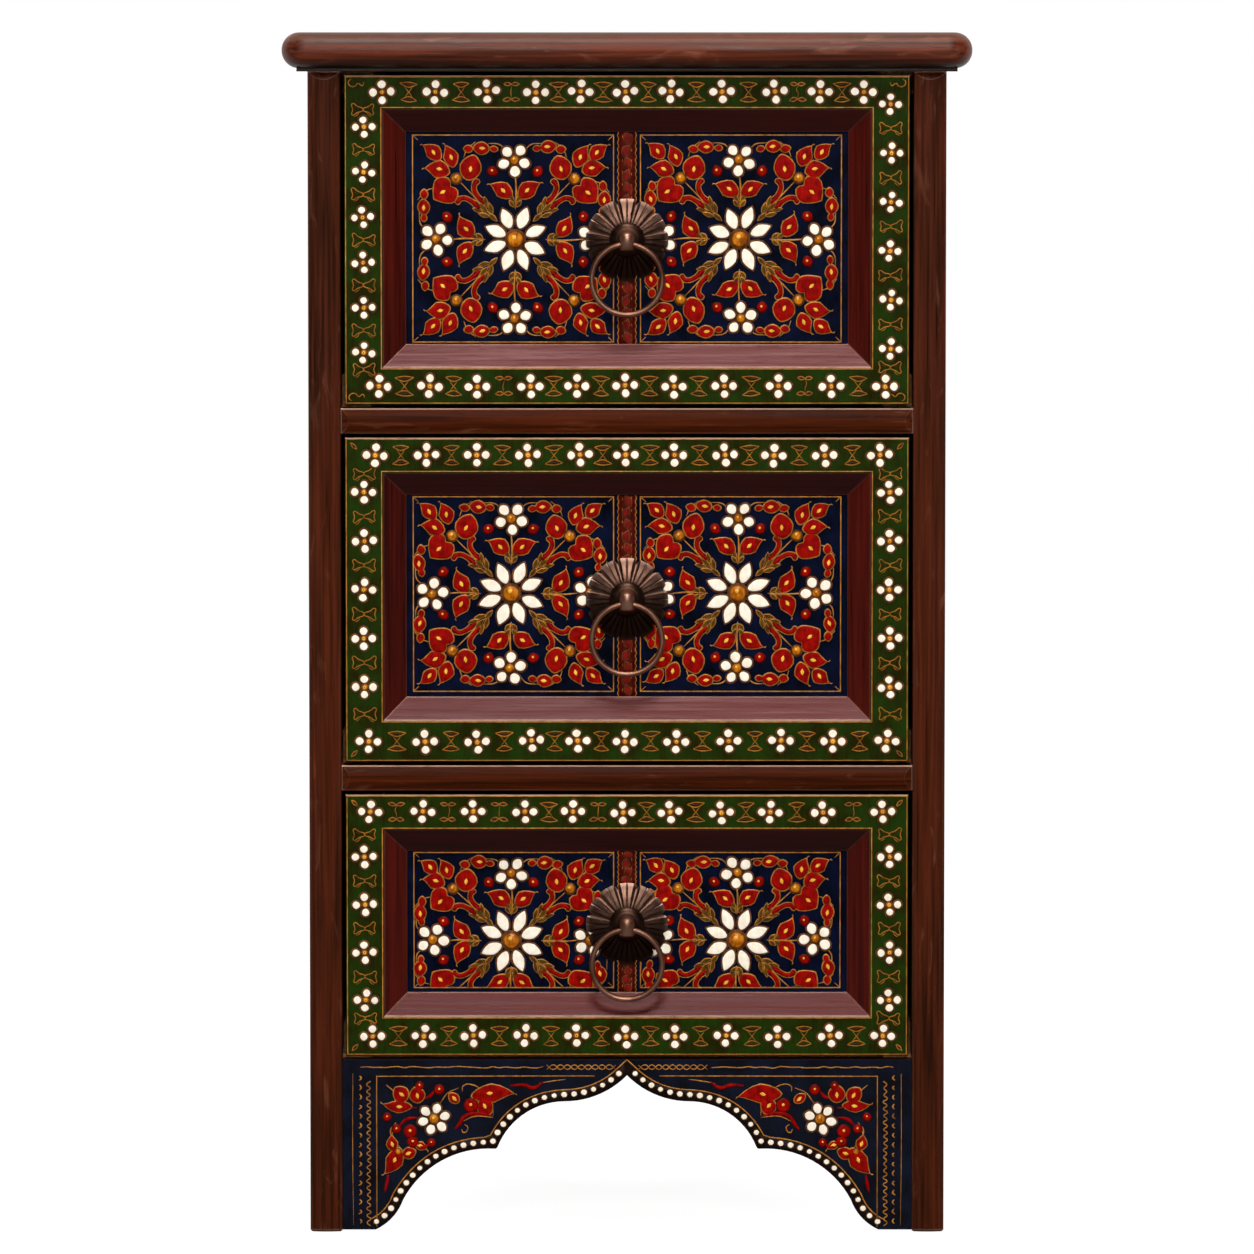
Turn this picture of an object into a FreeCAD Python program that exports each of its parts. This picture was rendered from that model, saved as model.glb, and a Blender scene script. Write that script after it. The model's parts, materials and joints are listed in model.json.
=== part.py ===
"""A small painted chest of three drawers, in millimetres.

The chest stands on the floor (z = 0) and faces -Y. Every size that can be chosen on its own
sits in the sheet "dims"; the sheet "layout" works out where the pieces meet. Joints are cut
with the piece that fits them, so a tenon and its mortise always agree.
"""
import FreeCAD, Part
import os
import Sketcher
from FreeCAD import Placement, Rotation, Vector

os.makedirs("parts", exist_ok=True)
doc = FreeCAD.newDocument("painted_chest")

SIZES = [
    ("case_width", 402, "carcass over the outer faces of the posts"),
    ("case_depth", 324, "carcass from the crest of the front posts to the back"),
    ("top_overhang", 16, "top board past the carcass, front and sides"),
    ("top_thickness", 22.5, "nosed part of the top board"),
    ("top_corner", 15, "plan rounding of the front corners of the top"),
    ("top_step", 2, "thin step under the nosing"),
    ("top_step_inset", 9.5, "step set in from the nosing"),
    ("post_width", 20.5, "post across the front"),
    ("post_depth", 30, "post from front to back"),
    ("post_crown", 1.8, "rise of the crowned front of a post"),
    ("post_bevel", 5, "height of the bevel at the top of a front post"),
    ("post_round", 1.6, "rounding of the long edges of a post"),
    ("foot_ease", 1.2, "chamfer round the foot of a post"),
    ("edge_round", 0.9, "easing of the edges that a hand meets"),
    ("rail_height", 16, "rail between two drawers"),
    ("rail_depth", 30, "the same rail from front to back"),
    ("rail_crown", 1.5, "rise of the crowned front of a rail"),
    ("rail_bevel", 5, "length of the bevel at the end of a rail"),
    ("rail_setback", 0.6, "rail behind the crest of the posts"),
    ("apron_top", 110, "top edge of the apron above the floor"),
    ("apron_thickness", 16, "apron board"),
    ("apron_lift", 1.3, "foot of the apron above the floor"),
    ("apron_setback", 1.8, "apron behind the crest of the posts"),
    ("apron_tenon_low", 28, "lower edge of the apron tenon above the floor"),
    ("apron_tenon_drop", 12, "upper edge of that tenon below the top of the apron"),
    ("arch_height", 99.8, "point of the arch above the floor"),
    ("arch_turn_across", 40, "turn of the upper ogee from the middle"),
    ("arch_turn_up", 83.2, "the same turn above the floor"),
    ("cusp_across", 82.6, "cusp from the middle"),
    ("cusp_up", 52.8, "cusp above the floor"),
    ("cusp_round", 2.2, "rounding of the cusp"),
    ("foot_turn_in", 38.4, "turn of the lower ogee from the post"),
    ("foot_turn_up", 20.4, "the same turn above the floor"),
    ("foot_width", 21, "foot of the apron from the post"),
    ("apex_sag", 4.4, "hollow of the arc beside the point"),
    ("lobe_sag", 8.2, "swell of the upper lobe"),
    ("side_lobe_sag", 10.2, "swell of the lower lobe"),
    ("foot_sag", 2.6, "hollow of the arc at the foot"),
    ("tenon_length", 10, "tenons of the carcass rails"),
    ("tenon_thickness", 8, "the same tenons across"),
    ("tenon_shoulder", 3, "step round a tenon"),
    ("side_rail_height", 40, "rails of the side frames"),
    ("side_rail_thickness", 14, "the same rails across"),
    ("side_inset", 3, "side frame behind the outer face of the posts"),
    ("side_low", 62, "lower edge of the lower side rail above the floor"),
    ("side_panel_thickness", 6, "boards in the sides"),
    ("panel_groove", 6, "grooves that hold the side and back boards"),
    ("back_rail_height", 40, "rails of the back frame"),
    ("back_rail_thickness", 14, "the same rails from front to back"),
    ("back_inset", 2, "back rails ahead of the back of the posts"),
    ("back_low", 106, "lower edge of the lower back rail above the floor"),
    ("back_panel_thickness", 5, "board in the back"),
    ("front_height_upper", 207, "front of the upper drawer"),
    ("front_height_middle", 205, "front of the middle drawer"),
    ("front_height_lower", 166, "front of the lower drawer"),
    ("drawer_gap", 2.5, "gap round a drawer front"),
    ("front_setback", 1, "drawer fronts behind the crest of the posts"),
    ("front_thickness", 20, "frame of a drawer front"),
    ("stile_width", 24, "upright members of the frame"),
    ("frame_top_upper", 20.9, "upper member of that frame, upper drawer"),
    ("frame_top_middle", 22, "the same, middle drawer"),
    ("frame_top_lower", 22, "the same, lower drawer"),
    ("frame_bottom_upper", 23.2, "lower member of that frame, upper drawer"),
    ("frame_bottom_middle", 26, "the same, middle drawer"),
    ("frame_bottom_lower", 24.8, "the same, lower drawer"),
    ("frame_groove", 6, "groove of the frame round its panel"),
    ("moulding_width", 14.6, "sloping strip round the panel"),
    ("moulding_depth", 11, "panel behind the face of the frame"),
    ("moulding_set", 0.6, "strip below the face of the frame"),
    ("moulding_lip", 1.5, "thin edge of the strip above the panel"),
    ("panel_thickness", 6, "panel of a drawer front"),
    ("side_thickness", 10, "drawer side"),
    ("side_in", 3, "drawer side in from the end of the front"),
    ("side_drop", 14, "drawer side below the top of the front"),
    ("housing_depth", 5, "housing of a drawer side in its stile"),
    ("dado_depth", 4, "groove of a drawer side for back and bottom"),
    ("drawer_back_thickness", 10, "drawer back"),
    ("drawer_back_in", 8, "drawer back ahead of the ends of the sides"),
    ("bottom_thickness", 4, "drawer bottom"),
    ("bottom_lift", 8, "drawer bottom above the edge of the sides"),
    ("slide_clearance", 0.3, "drawer side above its runner"),
    ("guide_clearance", 0.8, "drawer side beside its guide"),
    ("runner_width", 18, "ledge of a runner"),
    ("runner_height", 12, "thickness of that ledge"),
    ("runner_stub", 5, "runner end housed in the rail or apron"),
    ("guide_height", 18, "guide above the ledge"),
    ("bottom_rail_depth", 20, "rail behind the apron, from front to back"),
    ("bottom_rail_gap", 0.5, "lower drawer above that rail"),
    ("stop_length", 12, "stop block along the runner"),
    ("stop_height", 10, "stop block above the runner"),
    ("stop_gap", 0.3, "closed drawer ahead of its stops"),
    ("kicker_width", 20, "strip under the top"),
    ("kick_clearance", 2.5, "strip above the sides of the upper drawer"),
    ("screw_spread", 90, "kicker screws from the middle of the depth"),
    ("screw_length", 30, "wood screw"),
    ("screw_shank", 3.5, "diameter of its shank"),
    ("screw_head", 7, "diameter of its countersunk head"),
    ("screw_head_height", 2.4, "height of that head"),
    ("screw_tip", 4, "tapered end of the screw"),
    ("rosette_diameter", 52, "flower plate of a pull"),
    ("rosette_rim", 1.3, "thickness of the plate at the rim"),
    ("rosette_shoulder", 5.2, "height of the petals at the collar"),
    ("collar_diameter", 22.4, "raised collar round the knob"),
    ("collar_height", 8.2, "top of the collar above the panel"),
    ("collar_dish", 11, "inner diameter of the collar's flat"),
    ("petal_swell", 0.7, "swell of the petals from rim to collar"),
    ("collar_swell", 0.9, "swell of the collar"),
    ("flute_start", 1.4, "radius of the tool that cuts a flute, at the collar"),
    ("flute_end", 3.4, "the same radius at the rim"),
    ("flute_start_rise", 0.9, "middle of that tool above the petals, at the collar"),
    ("flute_end_rise", 2.4, "the same rise at the rim"),
    ("crease_start", 0.5, "radius of the tool that creases a petal, at the collar"),
    ("crease_end", 0.9, "the same radius at the rim"),
    ("crease_start_rise", 0.2, "middle of that tool above the petals, at the collar"),
    ("crease_end_rise", 0.55, "the same rise at the rim"),
    ("notch_depth", 3.7, "notch between two petals"),
    ("notch_half", 4.8, "half width of that notch"),
    ("notch_swell", 1.1, "swell of the petal's rounded shoulder"),
    ("knob_diameter", 9.6, "knob of the eye bolt"),
    ("knob_above", 7, "top of the knob above its neck"),
    ("knob_below", 7, "bottom of the knob below its neck"),
    ("knob_ease", 1.5, "rounding under the knob"),
    ("knob_standoff", 14, "middle of the knob from the panel"),
    ("neck_diameter", 7.4, "neck between collar and knob"),
    ("shank_diameter", 5, "shank through the panel"),
    ("shank_fit", 0.15, "gap round the shank"),
    ("shank_past", 13, "end of the shank behind the face of the panel"),
    ("nut_width", 8, "nut across the flats"),
    ("nut_height", 4, "nut along the shank"),
    ("ring_diameter", 48, "ring over its outside"),
    ("ring_wire", 3.6, "wire of the ring"),
    ("eye_drop", 2.5, "cross hole below the neck"),
    ("eye_clearance", 0.8, "gap round the wire in the cross hole"),
]
PETALS = 12
NOSING_SHARE = 0.49
OVERRUN = 1
QUARTER_SWELL = "(1 - sqrt(0.5))"

LAYOUT = [
    ("outer_half", "dims.case_width / 2"),
    ("inner_half", "outer_half - dims.post_width"),
    ("top_half", "outer_half + dims.top_overhang"),
    ("back_y", "(dims.case_depth + dims.top_overhang) / 2"),
    ("front_y", "back_y - dims.case_depth"),
    ("nose_y", "-back_y"),
    ("post_back", "front_y + dims.post_depth"),
    ("rear_post", "back_y - dims.post_depth"),
    ("rail_face", "front_y + dims.rail_setback"),
    ("rail_back", "rail_face + dims.rail_depth"),
    ("apron_face", "front_y + dims.apron_setback"),
    ("apron_back", "apron_face + dims.apron_thickness"),
    ("lower_low", "dims.apron_top + dims.drawer_gap"),
    ("lower_high", "lower_low + dims.front_height_lower"),
    ("rail_lower_low", "lower_high + dims.drawer_gap"),
    ("rail_lower_high", "rail_lower_low + dims.rail_height"),
    ("middle_low", "rail_lower_high + dims.drawer_gap"),
    ("middle_high", "middle_low + dims.front_height_middle"),
    ("rail_upper_low", "middle_high + dims.drawer_gap"),
    ("rail_upper_high", "rail_upper_low + dims.rail_height"),
    ("upper_low", "rail_upper_high + dims.drawer_gap"),
    ("upper_high", "upper_low + dims.front_height_upper"),
    ("case_top", "upper_high + dims.drawer_gap"),
    ("slab_low", "case_top + dims.top_step"),
    ("front_face", "front_y + dims.front_setback"),
    ("front_back", "front_face + dims.front_thickness"),
    ("panel_face", "front_face + dims.moulding_depth"),
    ("panel_back", "panel_face + dims.panel_thickness"),
    ("front_half", "inner_half - dims.drawer_gap"),
    ("open_half", "front_half - dims.stile_width"),
    ("box_half", "front_half - dims.side_in"),
    ("box_inner", "box_half - dims.side_thickness"),
    ("dado_half", "box_inner + dims.dado_depth"),
    ("side_outer", "outer_half - dims.side_inset"),
    ("side_inner", "side_outer - dims.side_rail_thickness"),
    ("side_middle", "side_outer - dims.side_rail_thickness / 2"),
    ("back_rail_rear", "back_y - dims.back_inset"),
    ("back_rail_front", "back_rail_rear - dims.back_rail_thickness"),
    ("back_middle", "back_rail_rear - dims.back_rail_thickness / 2"),
    ("stop_front", "back_rail_front - dims.stop_length"),
    ("drawer_end", "stop_front - dims.stop_gap"),
    ("drawer_back_rear", "drawer_end - dims.drawer_back_in"),
    ("kicker_low", "upper_high - dims.side_drop + dims.kick_clearance"),
    ("ring_middle", "(dims.ring_diameter - dims.ring_wire) / 2"),
]


def fill_sheet(name, rows, mark):
    """A sheet with a name, a value and a note in each row."""
    sheet = doc.addObject("Spreadsheet::Sheet", name)
    for line, row in enumerate(rows, start=1):
        sheet.set(f"A{line}", row[0])
        sheet.set(f"B{line}", mark + str(row[1]))
        sheet.setAlias(f"B{line}", row[0])
        if len(row) > 2:
            sheet.set(f"C{line}", row[2])
    return sheet


dims = fill_sheet("dims", SIZES, "")
doc.recompute()
layout = fill_sheet("layout", LAYOUT, "=")
doc.recompute()

finished = {}


def at(name):
    """The formula that reads one worked-out place."""
    return f"layout.{name}"


def size(name):
    """The formula that reads one chosen size."""
    return f"dims.{name}"


def value(formula):
    """What a formula comes to, for drawing a sketch near its final form."""
    return float(dims.evalExpression(formula))


def both_ways(formula):
    """A span with equal reach to either side of the middle."""
    return (f"-({formula})", formula)


def keep(node, made):
    """Names a finished sub-part and lists it for the files."""
    made.Label = node
    finished[node] = made
    return made


def span(made, fields, ranges):
    """Binds the lengths and the corner of a block to its spans."""
    for field, letter, (low, high) in zip(fields, "xyz", ranges):
        made.setExpression(field, f"({high}) - ({low})")
        made.setExpression(f".Placement.Base.{letter}", low)


def box(name, x, y, z):
    """A plain board between two formulas along each axis."""
    made = doc.addObject("Part::Box", name)
    span(made, ("Length", "Width", "Height"), (x, y, z))
    return made


def cut(name, base, *tools):
    """The base with each tool's room taken out of it."""
    for count, tool in enumerate(tools):
        made = doc.addObject("Part::Cut", f"{name}_cut_{count}")
        made.Base = base
        made.Tool = tool
        base = made
    return base


def fuse(name, *shapes):
    """Several shapes joined into one."""
    made = doc.addObject("Part::MultiFuse", name)
    made.Shapes = list(shapes)
    made.Refine = True
    return made


def group(name, *shapes):
    """Separate pieces of one kind kept as one sub-part."""
    made = doc.addObject("Part::Compound", name)
    made.Links = list(shapes)
    return made


def mirror(name, source):
    """The same piece on the other side of the middle."""
    made = doc.addObject("Part::Mirroring", name)
    made.Source = source
    made.Normal = Vector(1, 0, 0)
    return made


def instance(name, source, x, y, z, turn=None):
    """A copy of a piece that was made at the origin."""
    made = group(name, source)
    if turn:
        made.Placement = Placement(Vector(), turn)
    for letter, formula in zip("xyz", (x, y, z)):
        made.setExpression(f".Placement.Base.{letter}", formula)
    return made


def plane(body, role):
    """One of the planes or axes of a body's origin."""
    return next(item for item in body.Origin.OriginFeatures if item.Role == role)


def bulged(start, end, swell):
    """The middle of an arc that stands off its chord to the left by the swell."""
    (x0, y0), (x1, y1) = start, end
    run = f"(({x1}) - ({x0}))"
    rise = f"(({y1}) - ({y0}))"
    length = f"sqrt({run}^2 + {rise}^2)"
    middle_x = f"(({x0}) + ({x1})) / 2 - ({swell}) * {rise} / {length}"
    middle_y = f"(({y0}) + ({y1})) / 2 + ({swell}) * {run} / {length}"
    return middle_x, middle_y


def pin(sketch, geometry, end, place):
    """Ties one point of a sketch to a pair of formulas."""
    for kind, formula in zip(("DistanceX", "DistanceY"), place):
        rule = Sketcher.Constraint(kind, geometry, end, value(formula))
        index = sketch.addConstraint(rule)
        sketch.setExpression(f"Constraints[{index}]", formula)


def outline(sketch, corners):
    """One closed line of straights and arcs; a third item in a corner is the arc's swell."""
    places = [corner[:2] for corner in corners]
    points = [Vector(value(x), value(y), 0) for x, y in places]
    ends = []
    for index, corner in enumerate(corners):
        after = (index + 1) % len(corners)
        if len(corner) > 2:
            through = bulged(places[index], places[after], corner[2])
            middle = Vector(value(through[0]), value(through[1]), 0)
            line = sketch.addGeometry(Part.Arc(points[index], middle, points[after]))
            dot = sketch.addGeometry(Part.Point(middle), True)
            pin(sketch, dot, 1, through)
            sketch.addConstraint(Sketcher.Constraint("PointOnObject", dot, 1, line))
        else:
            line = sketch.addGeometry(Part.LineSegment(points[index], points[after]))
        begins = sketch.getPoint(line, 1).distanceToPoint(points[index])
        stops = sketch.getPoint(line, 2).distanceToPoint(points[index])
        ends.append((line, 1, 2) if begins < stops else (line, 2, 1))
    for index, (line, first, last) in enumerate(ends):
        following = ends[(index + 1) % len(ends)]
        meeting = Sketcher.Constraint("Coincident", line, last, following[0], following[1])
        sketch.addConstraint(meeting)
        pin(sketch, line, first, places[index])


def sketch_on(body, name, role, *loops, height=None):
    """A sketch on an origin plane of a body, lifted off it where a height is given."""
    sketch = body.newObject("Sketcher::SketchObject", name)
    sketch.AttachmentSupport = [(plane(body, role), "")]
    sketch.MapMode = "FlatFace"
    if height:
        sketch.setExpression(".AttachmentOffset.Base.z", height)
    for corners in loops:
        outline(sketch, corners)
    return sketch


def new_body(name):
    """An empty body."""
    return doc.addObject("PartDesign::Body", name)


def pad(body, sketch, length, symmetric=False):
    """Material grown from a sketch."""
    made = body.newObject("PartDesign::Pad", sketch.Name + "_pad")
    made.Profile = sketch
    made.SideType = "Symmetric" if symmetric else "One side"
    made.setExpression("Length", length)
    body.Tip = made
    return made


def pocket(body, sketch):
    """A cut right through, both ways from its sketch."""
    made = body.newObject("PartDesign::Pocket", sketch.Name + "_pocket")
    made.Profile = sketch
    made.SideType = "Symmetric"
    made.Type = "ThroughAll"
    body.Tip = made
    return made


def revolve(body, sketch):
    """A turned solid about the sketch's upright axis."""
    made = body.newObject("PartDesign::Revolution", sketch.Name + "_turned")
    made.Profile = sketch
    made.ReferenceAxis = (sketch, ["V_Axis"])
    made.Angle = 360
    body.Tip = made
    return made


def around(body, feature, role, count):
    """A feature repeated round an axis of the body."""
    made = body.newObject("PartDesign::PolarPattern", feature.Name + "_around")
    made.Originals = [feature]
    made.Axis = (plane(body, role), [""])
    made.Angle = 360
    made.Occurrences = count
    body.Tip = made
    return made


def block(body, name, x, y, z):
    """A block added to a body."""
    made = body.newObject("PartDesign::AdditiveBox", name)
    span(made, ("Length", "Width", "Height"), (x, y, z))
    body.Tip = made
    return made


def rod(body, kind, name, fields, place, turn):
    """A round block added to a body or taken out of it."""
    made = body.newObject(f"PartDesign::{kind}", name)
    made.Placement = Placement(Vector(), turn)
    for field, formula in fields.items():
        made.setExpression(field, formula)
    for letter, formula in zip("xyz", place):
        made.setExpression(f".Placement.Base.{letter}", formula)
    body.Tip = made
    return made


def ease(body, kind, chosen, field, formula):
    """Rounds or chamfers the edges of the body's last feature that pass the test."""
    doc.recompute()
    last = body.Tip
    names = []
    for index, edge in enumerate(last.Shape.Edges, start=1):
        if chosen(edge):
            names.append(f"Edge{index}")
    made = body.newObject(f"PartDesign::{kind}", f"{last.Name}_{kind.lower()}")
    made.Base = (last, names)
    made.setExpression(field, formula)
    body.Tip = made
    return made


def runs_along(edge, axis):
    """Whether a straight edge runs along X, Y or Z."""
    first, last = edge.Vertexes[0].Point, edge.Vertexes[-1].Point
    moved = [abs(last.x - first.x), abs(last.y - first.y), abs(last.z - first.z)]
    length = moved.pop("xyz".index(axis))
    return length > 1e-3 and max(moved) < 1e-3


def lies_at(edge, axis, formula):
    """Whether the whole edge lies at one place along an axis."""
    box_of = edge.BoundBox
    low, high = getattr(box_of, axis.upper() + "Min"), getattr(box_of, axis.upper() + "Max")
    place = value(formula)
    return abs(low - place) < 1e-3 and abs(high - place) < 1e-3


def rectangle(x, y):
    """Four corners of a rectangle from two spans."""
    return [(x[0], y[0]), (x[1], y[0]), (x[1], y[1]), (x[0], y[1])]


# Top board: a slab with a half-round nosing on three sides and a thin step under it.
top = new_body("top")
slab = sketch_on(top, "slab", "XY_Plane",
                 rectangle(both_ways(at("top_half")), (at("nose_y"), at("back_y"))),
                 height=at("slab_low"))
pad(top, slab, size("top_thickness"))
ease(top, "Fillet", lambda e: runs_along(e, "z") and e.BoundBox.YMax < 0, "Radius", size("top_corner"))


def nosing_edge(edge):
    """Every edge round the slab but those of its back."""
    level = abs(edge.BoundBox.ZMax - edge.BoundBox.ZMin) < 1e-3
    return level and not lies_at(edge, "y", at("back_y"))


ease(top, "Fillet", nosing_edge, "Radius", f"{size('top_thickness')} * {NOSING_SHARE}")
step_half = f"{at('top_half')} - {size('top_step_inset')}"
step = sketch_on(top, "step", "XY_Plane",
                 rectangle(both_ways(step_half),
                           (f"{at('nose_y')} + {size('top_step_inset')}", at("back_y"))),
                 height=at("case_top"))
pad(top, step, f"{size('top_step')} + {OVERRUN}")

# Screws: one turned screw, copied to its ten places.
screw = new_body("screw")
screw_shape = sketch_on(screw, "screw_shape", "XZ_Plane", [
    ("0", "0"),
    (f"{size('screw_head')} / 2", "0"),
    (f"{size('screw_shank')} / 2", size("screw_head_height")),
    (f"{size('screw_shank')} / 2", f"{size('screw_length')} - {size('screw_tip')}"),
    ("0", size("screw_length")),
])
revolve(screw, screw_shape)
screw_places = []
kicker_screw_x = f"{at('inner_half')} - {size('kicker_width')} / 2"
for side, sign in (("left", "-"), ("right", "")):
    for end, way in (("front", "-"), ("rear", "")):
        screw_places.append(instance(f"kicker_screw_{side}_{end}", screw,
                                     f"{sign}({kicker_screw_x})",
                                     f"{way}{size('screw_spread')}", at("kicker_low")))
runner_screw_y = f"({at('rear_post')} + {size('panel_groove')} + {at('back_rail_front')}) / 2"
runner_inner = f"({at('inner_half')} - {size('runner_width')})"
for drawer in ("upper", "middle", "lower"):
    seat = f"({at(drawer + '_low')} - {size('slide_clearance')})"
    for side, sign, angle in (("left", "-", -90), ("right", "", 90)):
        screw_places.append(instance(f"{drawer}_screw_{side}", screw,
                                     f"{sign}{runner_inner}", runner_screw_y,
                                     f"{seat} - {size('runner_height')} / 2",
                                     Rotation(Vector(0, 1, 0), angle)))
wood_screws = keep("wood_screws", group("screw_set", *screw_places))
keep("top_board", cut("top_board", top, wood_screws))

# Side frames: rails with tenons and a board in grooves, made for the right and mirrored.
rail_y = (at("post_back"), at("rear_post"))
tenon_y = (f"{at('post_back')} - {size('tenon_length')}", f"{at('rear_post')} + {size('tenon_length')}")
side_x = (at("side_inner"), at("side_outer"))
side_tenon_x = (f"{at('side_middle')} - {size('tenon_thickness')} / 2",
                f"{at('side_middle')} + {size('tenon_thickness')} / 2")
upper_rail_z = (f"{at('case_top')} - {size('side_rail_height')}", at("case_top"))
lower_rail_z = (size("side_low"), f"{size('side_low')} + {size('side_rail_height')}")


def shouldered(z):
    """The height of a tenon inside the height of its rail."""
    return (f"{z[0]} + {size('tenon_shoulder')}", f"{z[1]} - {size('tenon_shoulder')}")


side_panel = box("side_panel",
                 (f"{at('side_middle')} - {size('side_panel_thickness')} / 2",
                  f"{at('side_middle')} + {size('side_panel_thickness')} / 2"),
                 (f"{at('post_back')} - {size('panel_groove')}",
                  f"{at('rear_post')} + {size('panel_groove')}"),
                 (f"{lower_rail_z[1]} - {size('panel_groove')}",
                  f"{upper_rail_z[0]} + {size('panel_groove')}"))
side_rails = {}
for level, z in (("upper", upper_rail_z), ("lower", lower_rail_z)):
    core = box(f"side_rail_{level}_core", side_x, rail_y, z)
    tongue = box(f"side_rail_{level}_tenon", side_tenon_x, tenon_y, shouldered(z))
    whole = fuse(f"side_rail_{level}_whole", core, tongue)
    side_rails[level] = cut(f"side_rail_{level}", whole, side_panel)
    keep(f"side_rail_{level}_right", side_rails[level])
    keep(f"side_rail_{level}_left", mirror(f"side_rail_{level}_twin", side_rails[level]))
keep("side_panel_right", side_panel)
keep("side_panel_left", mirror("side_panel_twin", side_panel))

# Back frame: two rails and a board between the back posts.
back_x = both_ways(at("inner_half"))
back_tenon_x = both_ways(f"{at('inner_half')} + {size('tenon_length')}")
back_upper_z = (f"{at('case_top')} - {size('back_rail_height')}", at("case_top"))
back_lower_z = (size("back_low"), f"{size('back_low')} + {size('back_rail_height')}")
back_panel = box("back_board", both_ways(f"{at('inner_half')} + {size('panel_groove')}"),
                 (f"{at('back_middle')} - {size('back_panel_thickness')} / 2",
                  f"{at('back_middle')} + {size('back_panel_thickness')} / 2"),
                 (f"{back_lower_z[1]} - {size('panel_groove')}",
                  f"{back_upper_z[0]} + {size('panel_groove')}"))
back_tenon_y = (f"{at('back_middle')} - {size('tenon_thickness')} / 2",
                f"{at('back_middle')} + {size('tenon_thickness')} / 2")
back_rails = {}
for level, z in (("upper", back_upper_z), ("lower", back_lower_z)):
    core = box(f"back_rail_{level}_core", back_x, (at("back_rail_front"), at("back_rail_rear")), z)
    tongue = box(f"back_rail_{level}_tenon", back_tenon_x, back_tenon_y, shouldered(z))
    whole = fuse(f"back_rail_{level}_whole", core, tongue)
    back_rails[level] = cut(f"back_rail_{level}_form", whole, back_panel)
    keep(f"back_rail_{level}", back_rails[level])
keep("back_panel", back_panel)

# Bottom rail: stiffens the apron and closes the gap under the lower drawer; tongued into the runners.
bottom_rail_y = (at("apron_back"), f"{at('apron_back')} + {size('bottom_rail_depth')}")
bottom_rail_z = (f"{at('lower_low')} - {size('slide_clearance')} - {size('runner_height')}",
                 f"{at('lower_low')} - {size('bottom_rail_gap')}")
bottom_middle = f"({at('apron_back')} + {size('bottom_rail_depth')} / 2)"
bottom_tongue_x = f"({runner_inner} + {size('runner_stub')})"
bottom_core = box("bottom_rail_core", (f"-{runner_inner}", runner_inner), bottom_rail_y, bottom_rail_z)
bottom_tongue = box("bottom_rail_tongue", (f"-{bottom_tongue_x}", bottom_tongue_x),
                    (f"{bottom_middle} - {size('tenon_thickness')} / 2",
                     f"{bottom_middle} + {size('tenon_thickness')} / 2"), shouldered(bottom_rail_z))
bottom_rail = keep("bottom_rail", fuse("bottom_rail_whole", bottom_core, bottom_tongue))

# Runners: an L of ledge and guide beside each drawer, housed in the rail or apron ahead.
runner_x = (runner_inner, at("inner_half"))
guide_x = (f"{at('box_half')} + {size('guide_clearance')}", at("inner_half"))
runner_shapes = {}
stops = []
for drawer, carrier in (("upper", "rail_back"), ("middle", "rail_back"), ("lower", "apron_back")):
    seat = f"({at(drawer + '_low')} - {size('slide_clearance')})"
    runner_y = (f"{at(carrier)} - {size('runner_stub')}", at("back_rail_front"))
    ledge = box(f"{drawer}_ledge", runner_x, runner_y, (f"{seat} - {size('runner_height')}", seat))
    guide = box(f"{drawer}_guide", guide_x, (at("rail_back"), at("back_rail_front")),
                (seat, f"{seat} + {size('guide_height')}"))
    housed = [wood_screws, bottom_rail] if drawer == "lower" else [wood_screws]
    runner = cut(f"{drawer}_runner", fuse(f"{drawer}_runner_whole", ledge, guide), *housed)
    twin = mirror(f"{drawer}_runner_twin", runner)
    runner_shapes[drawer] = keep(f"{drawer}_runners", group(f"{drawer}_runner_pair", runner, twin))
    stop = box(f"{drawer}_stop", (at("box_inner"), at("box_half")),
               (at("stop_front"), at("back_rail_front")), (seat, f"{seat} + {size('stop_height')}"))
    stops.extend((stop, mirror(f"{drawer}_stop_twin", stop)))
keep("drawer_stops", group("stop_set", *stops))

# Kickers: strips under the top, screwed to it.
kicker = box("kicker_blank", (f"{at('inner_half')} - {size('kicker_width')}", at("side_inner")), rail_y,
             (at("kicker_low"), at("case_top")))
kicker = cut("kicker", kicker, wood_screws)
keep("top_kickers", group("kicker_pair", kicker, mirror("kicker_twin", kicker)))

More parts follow.
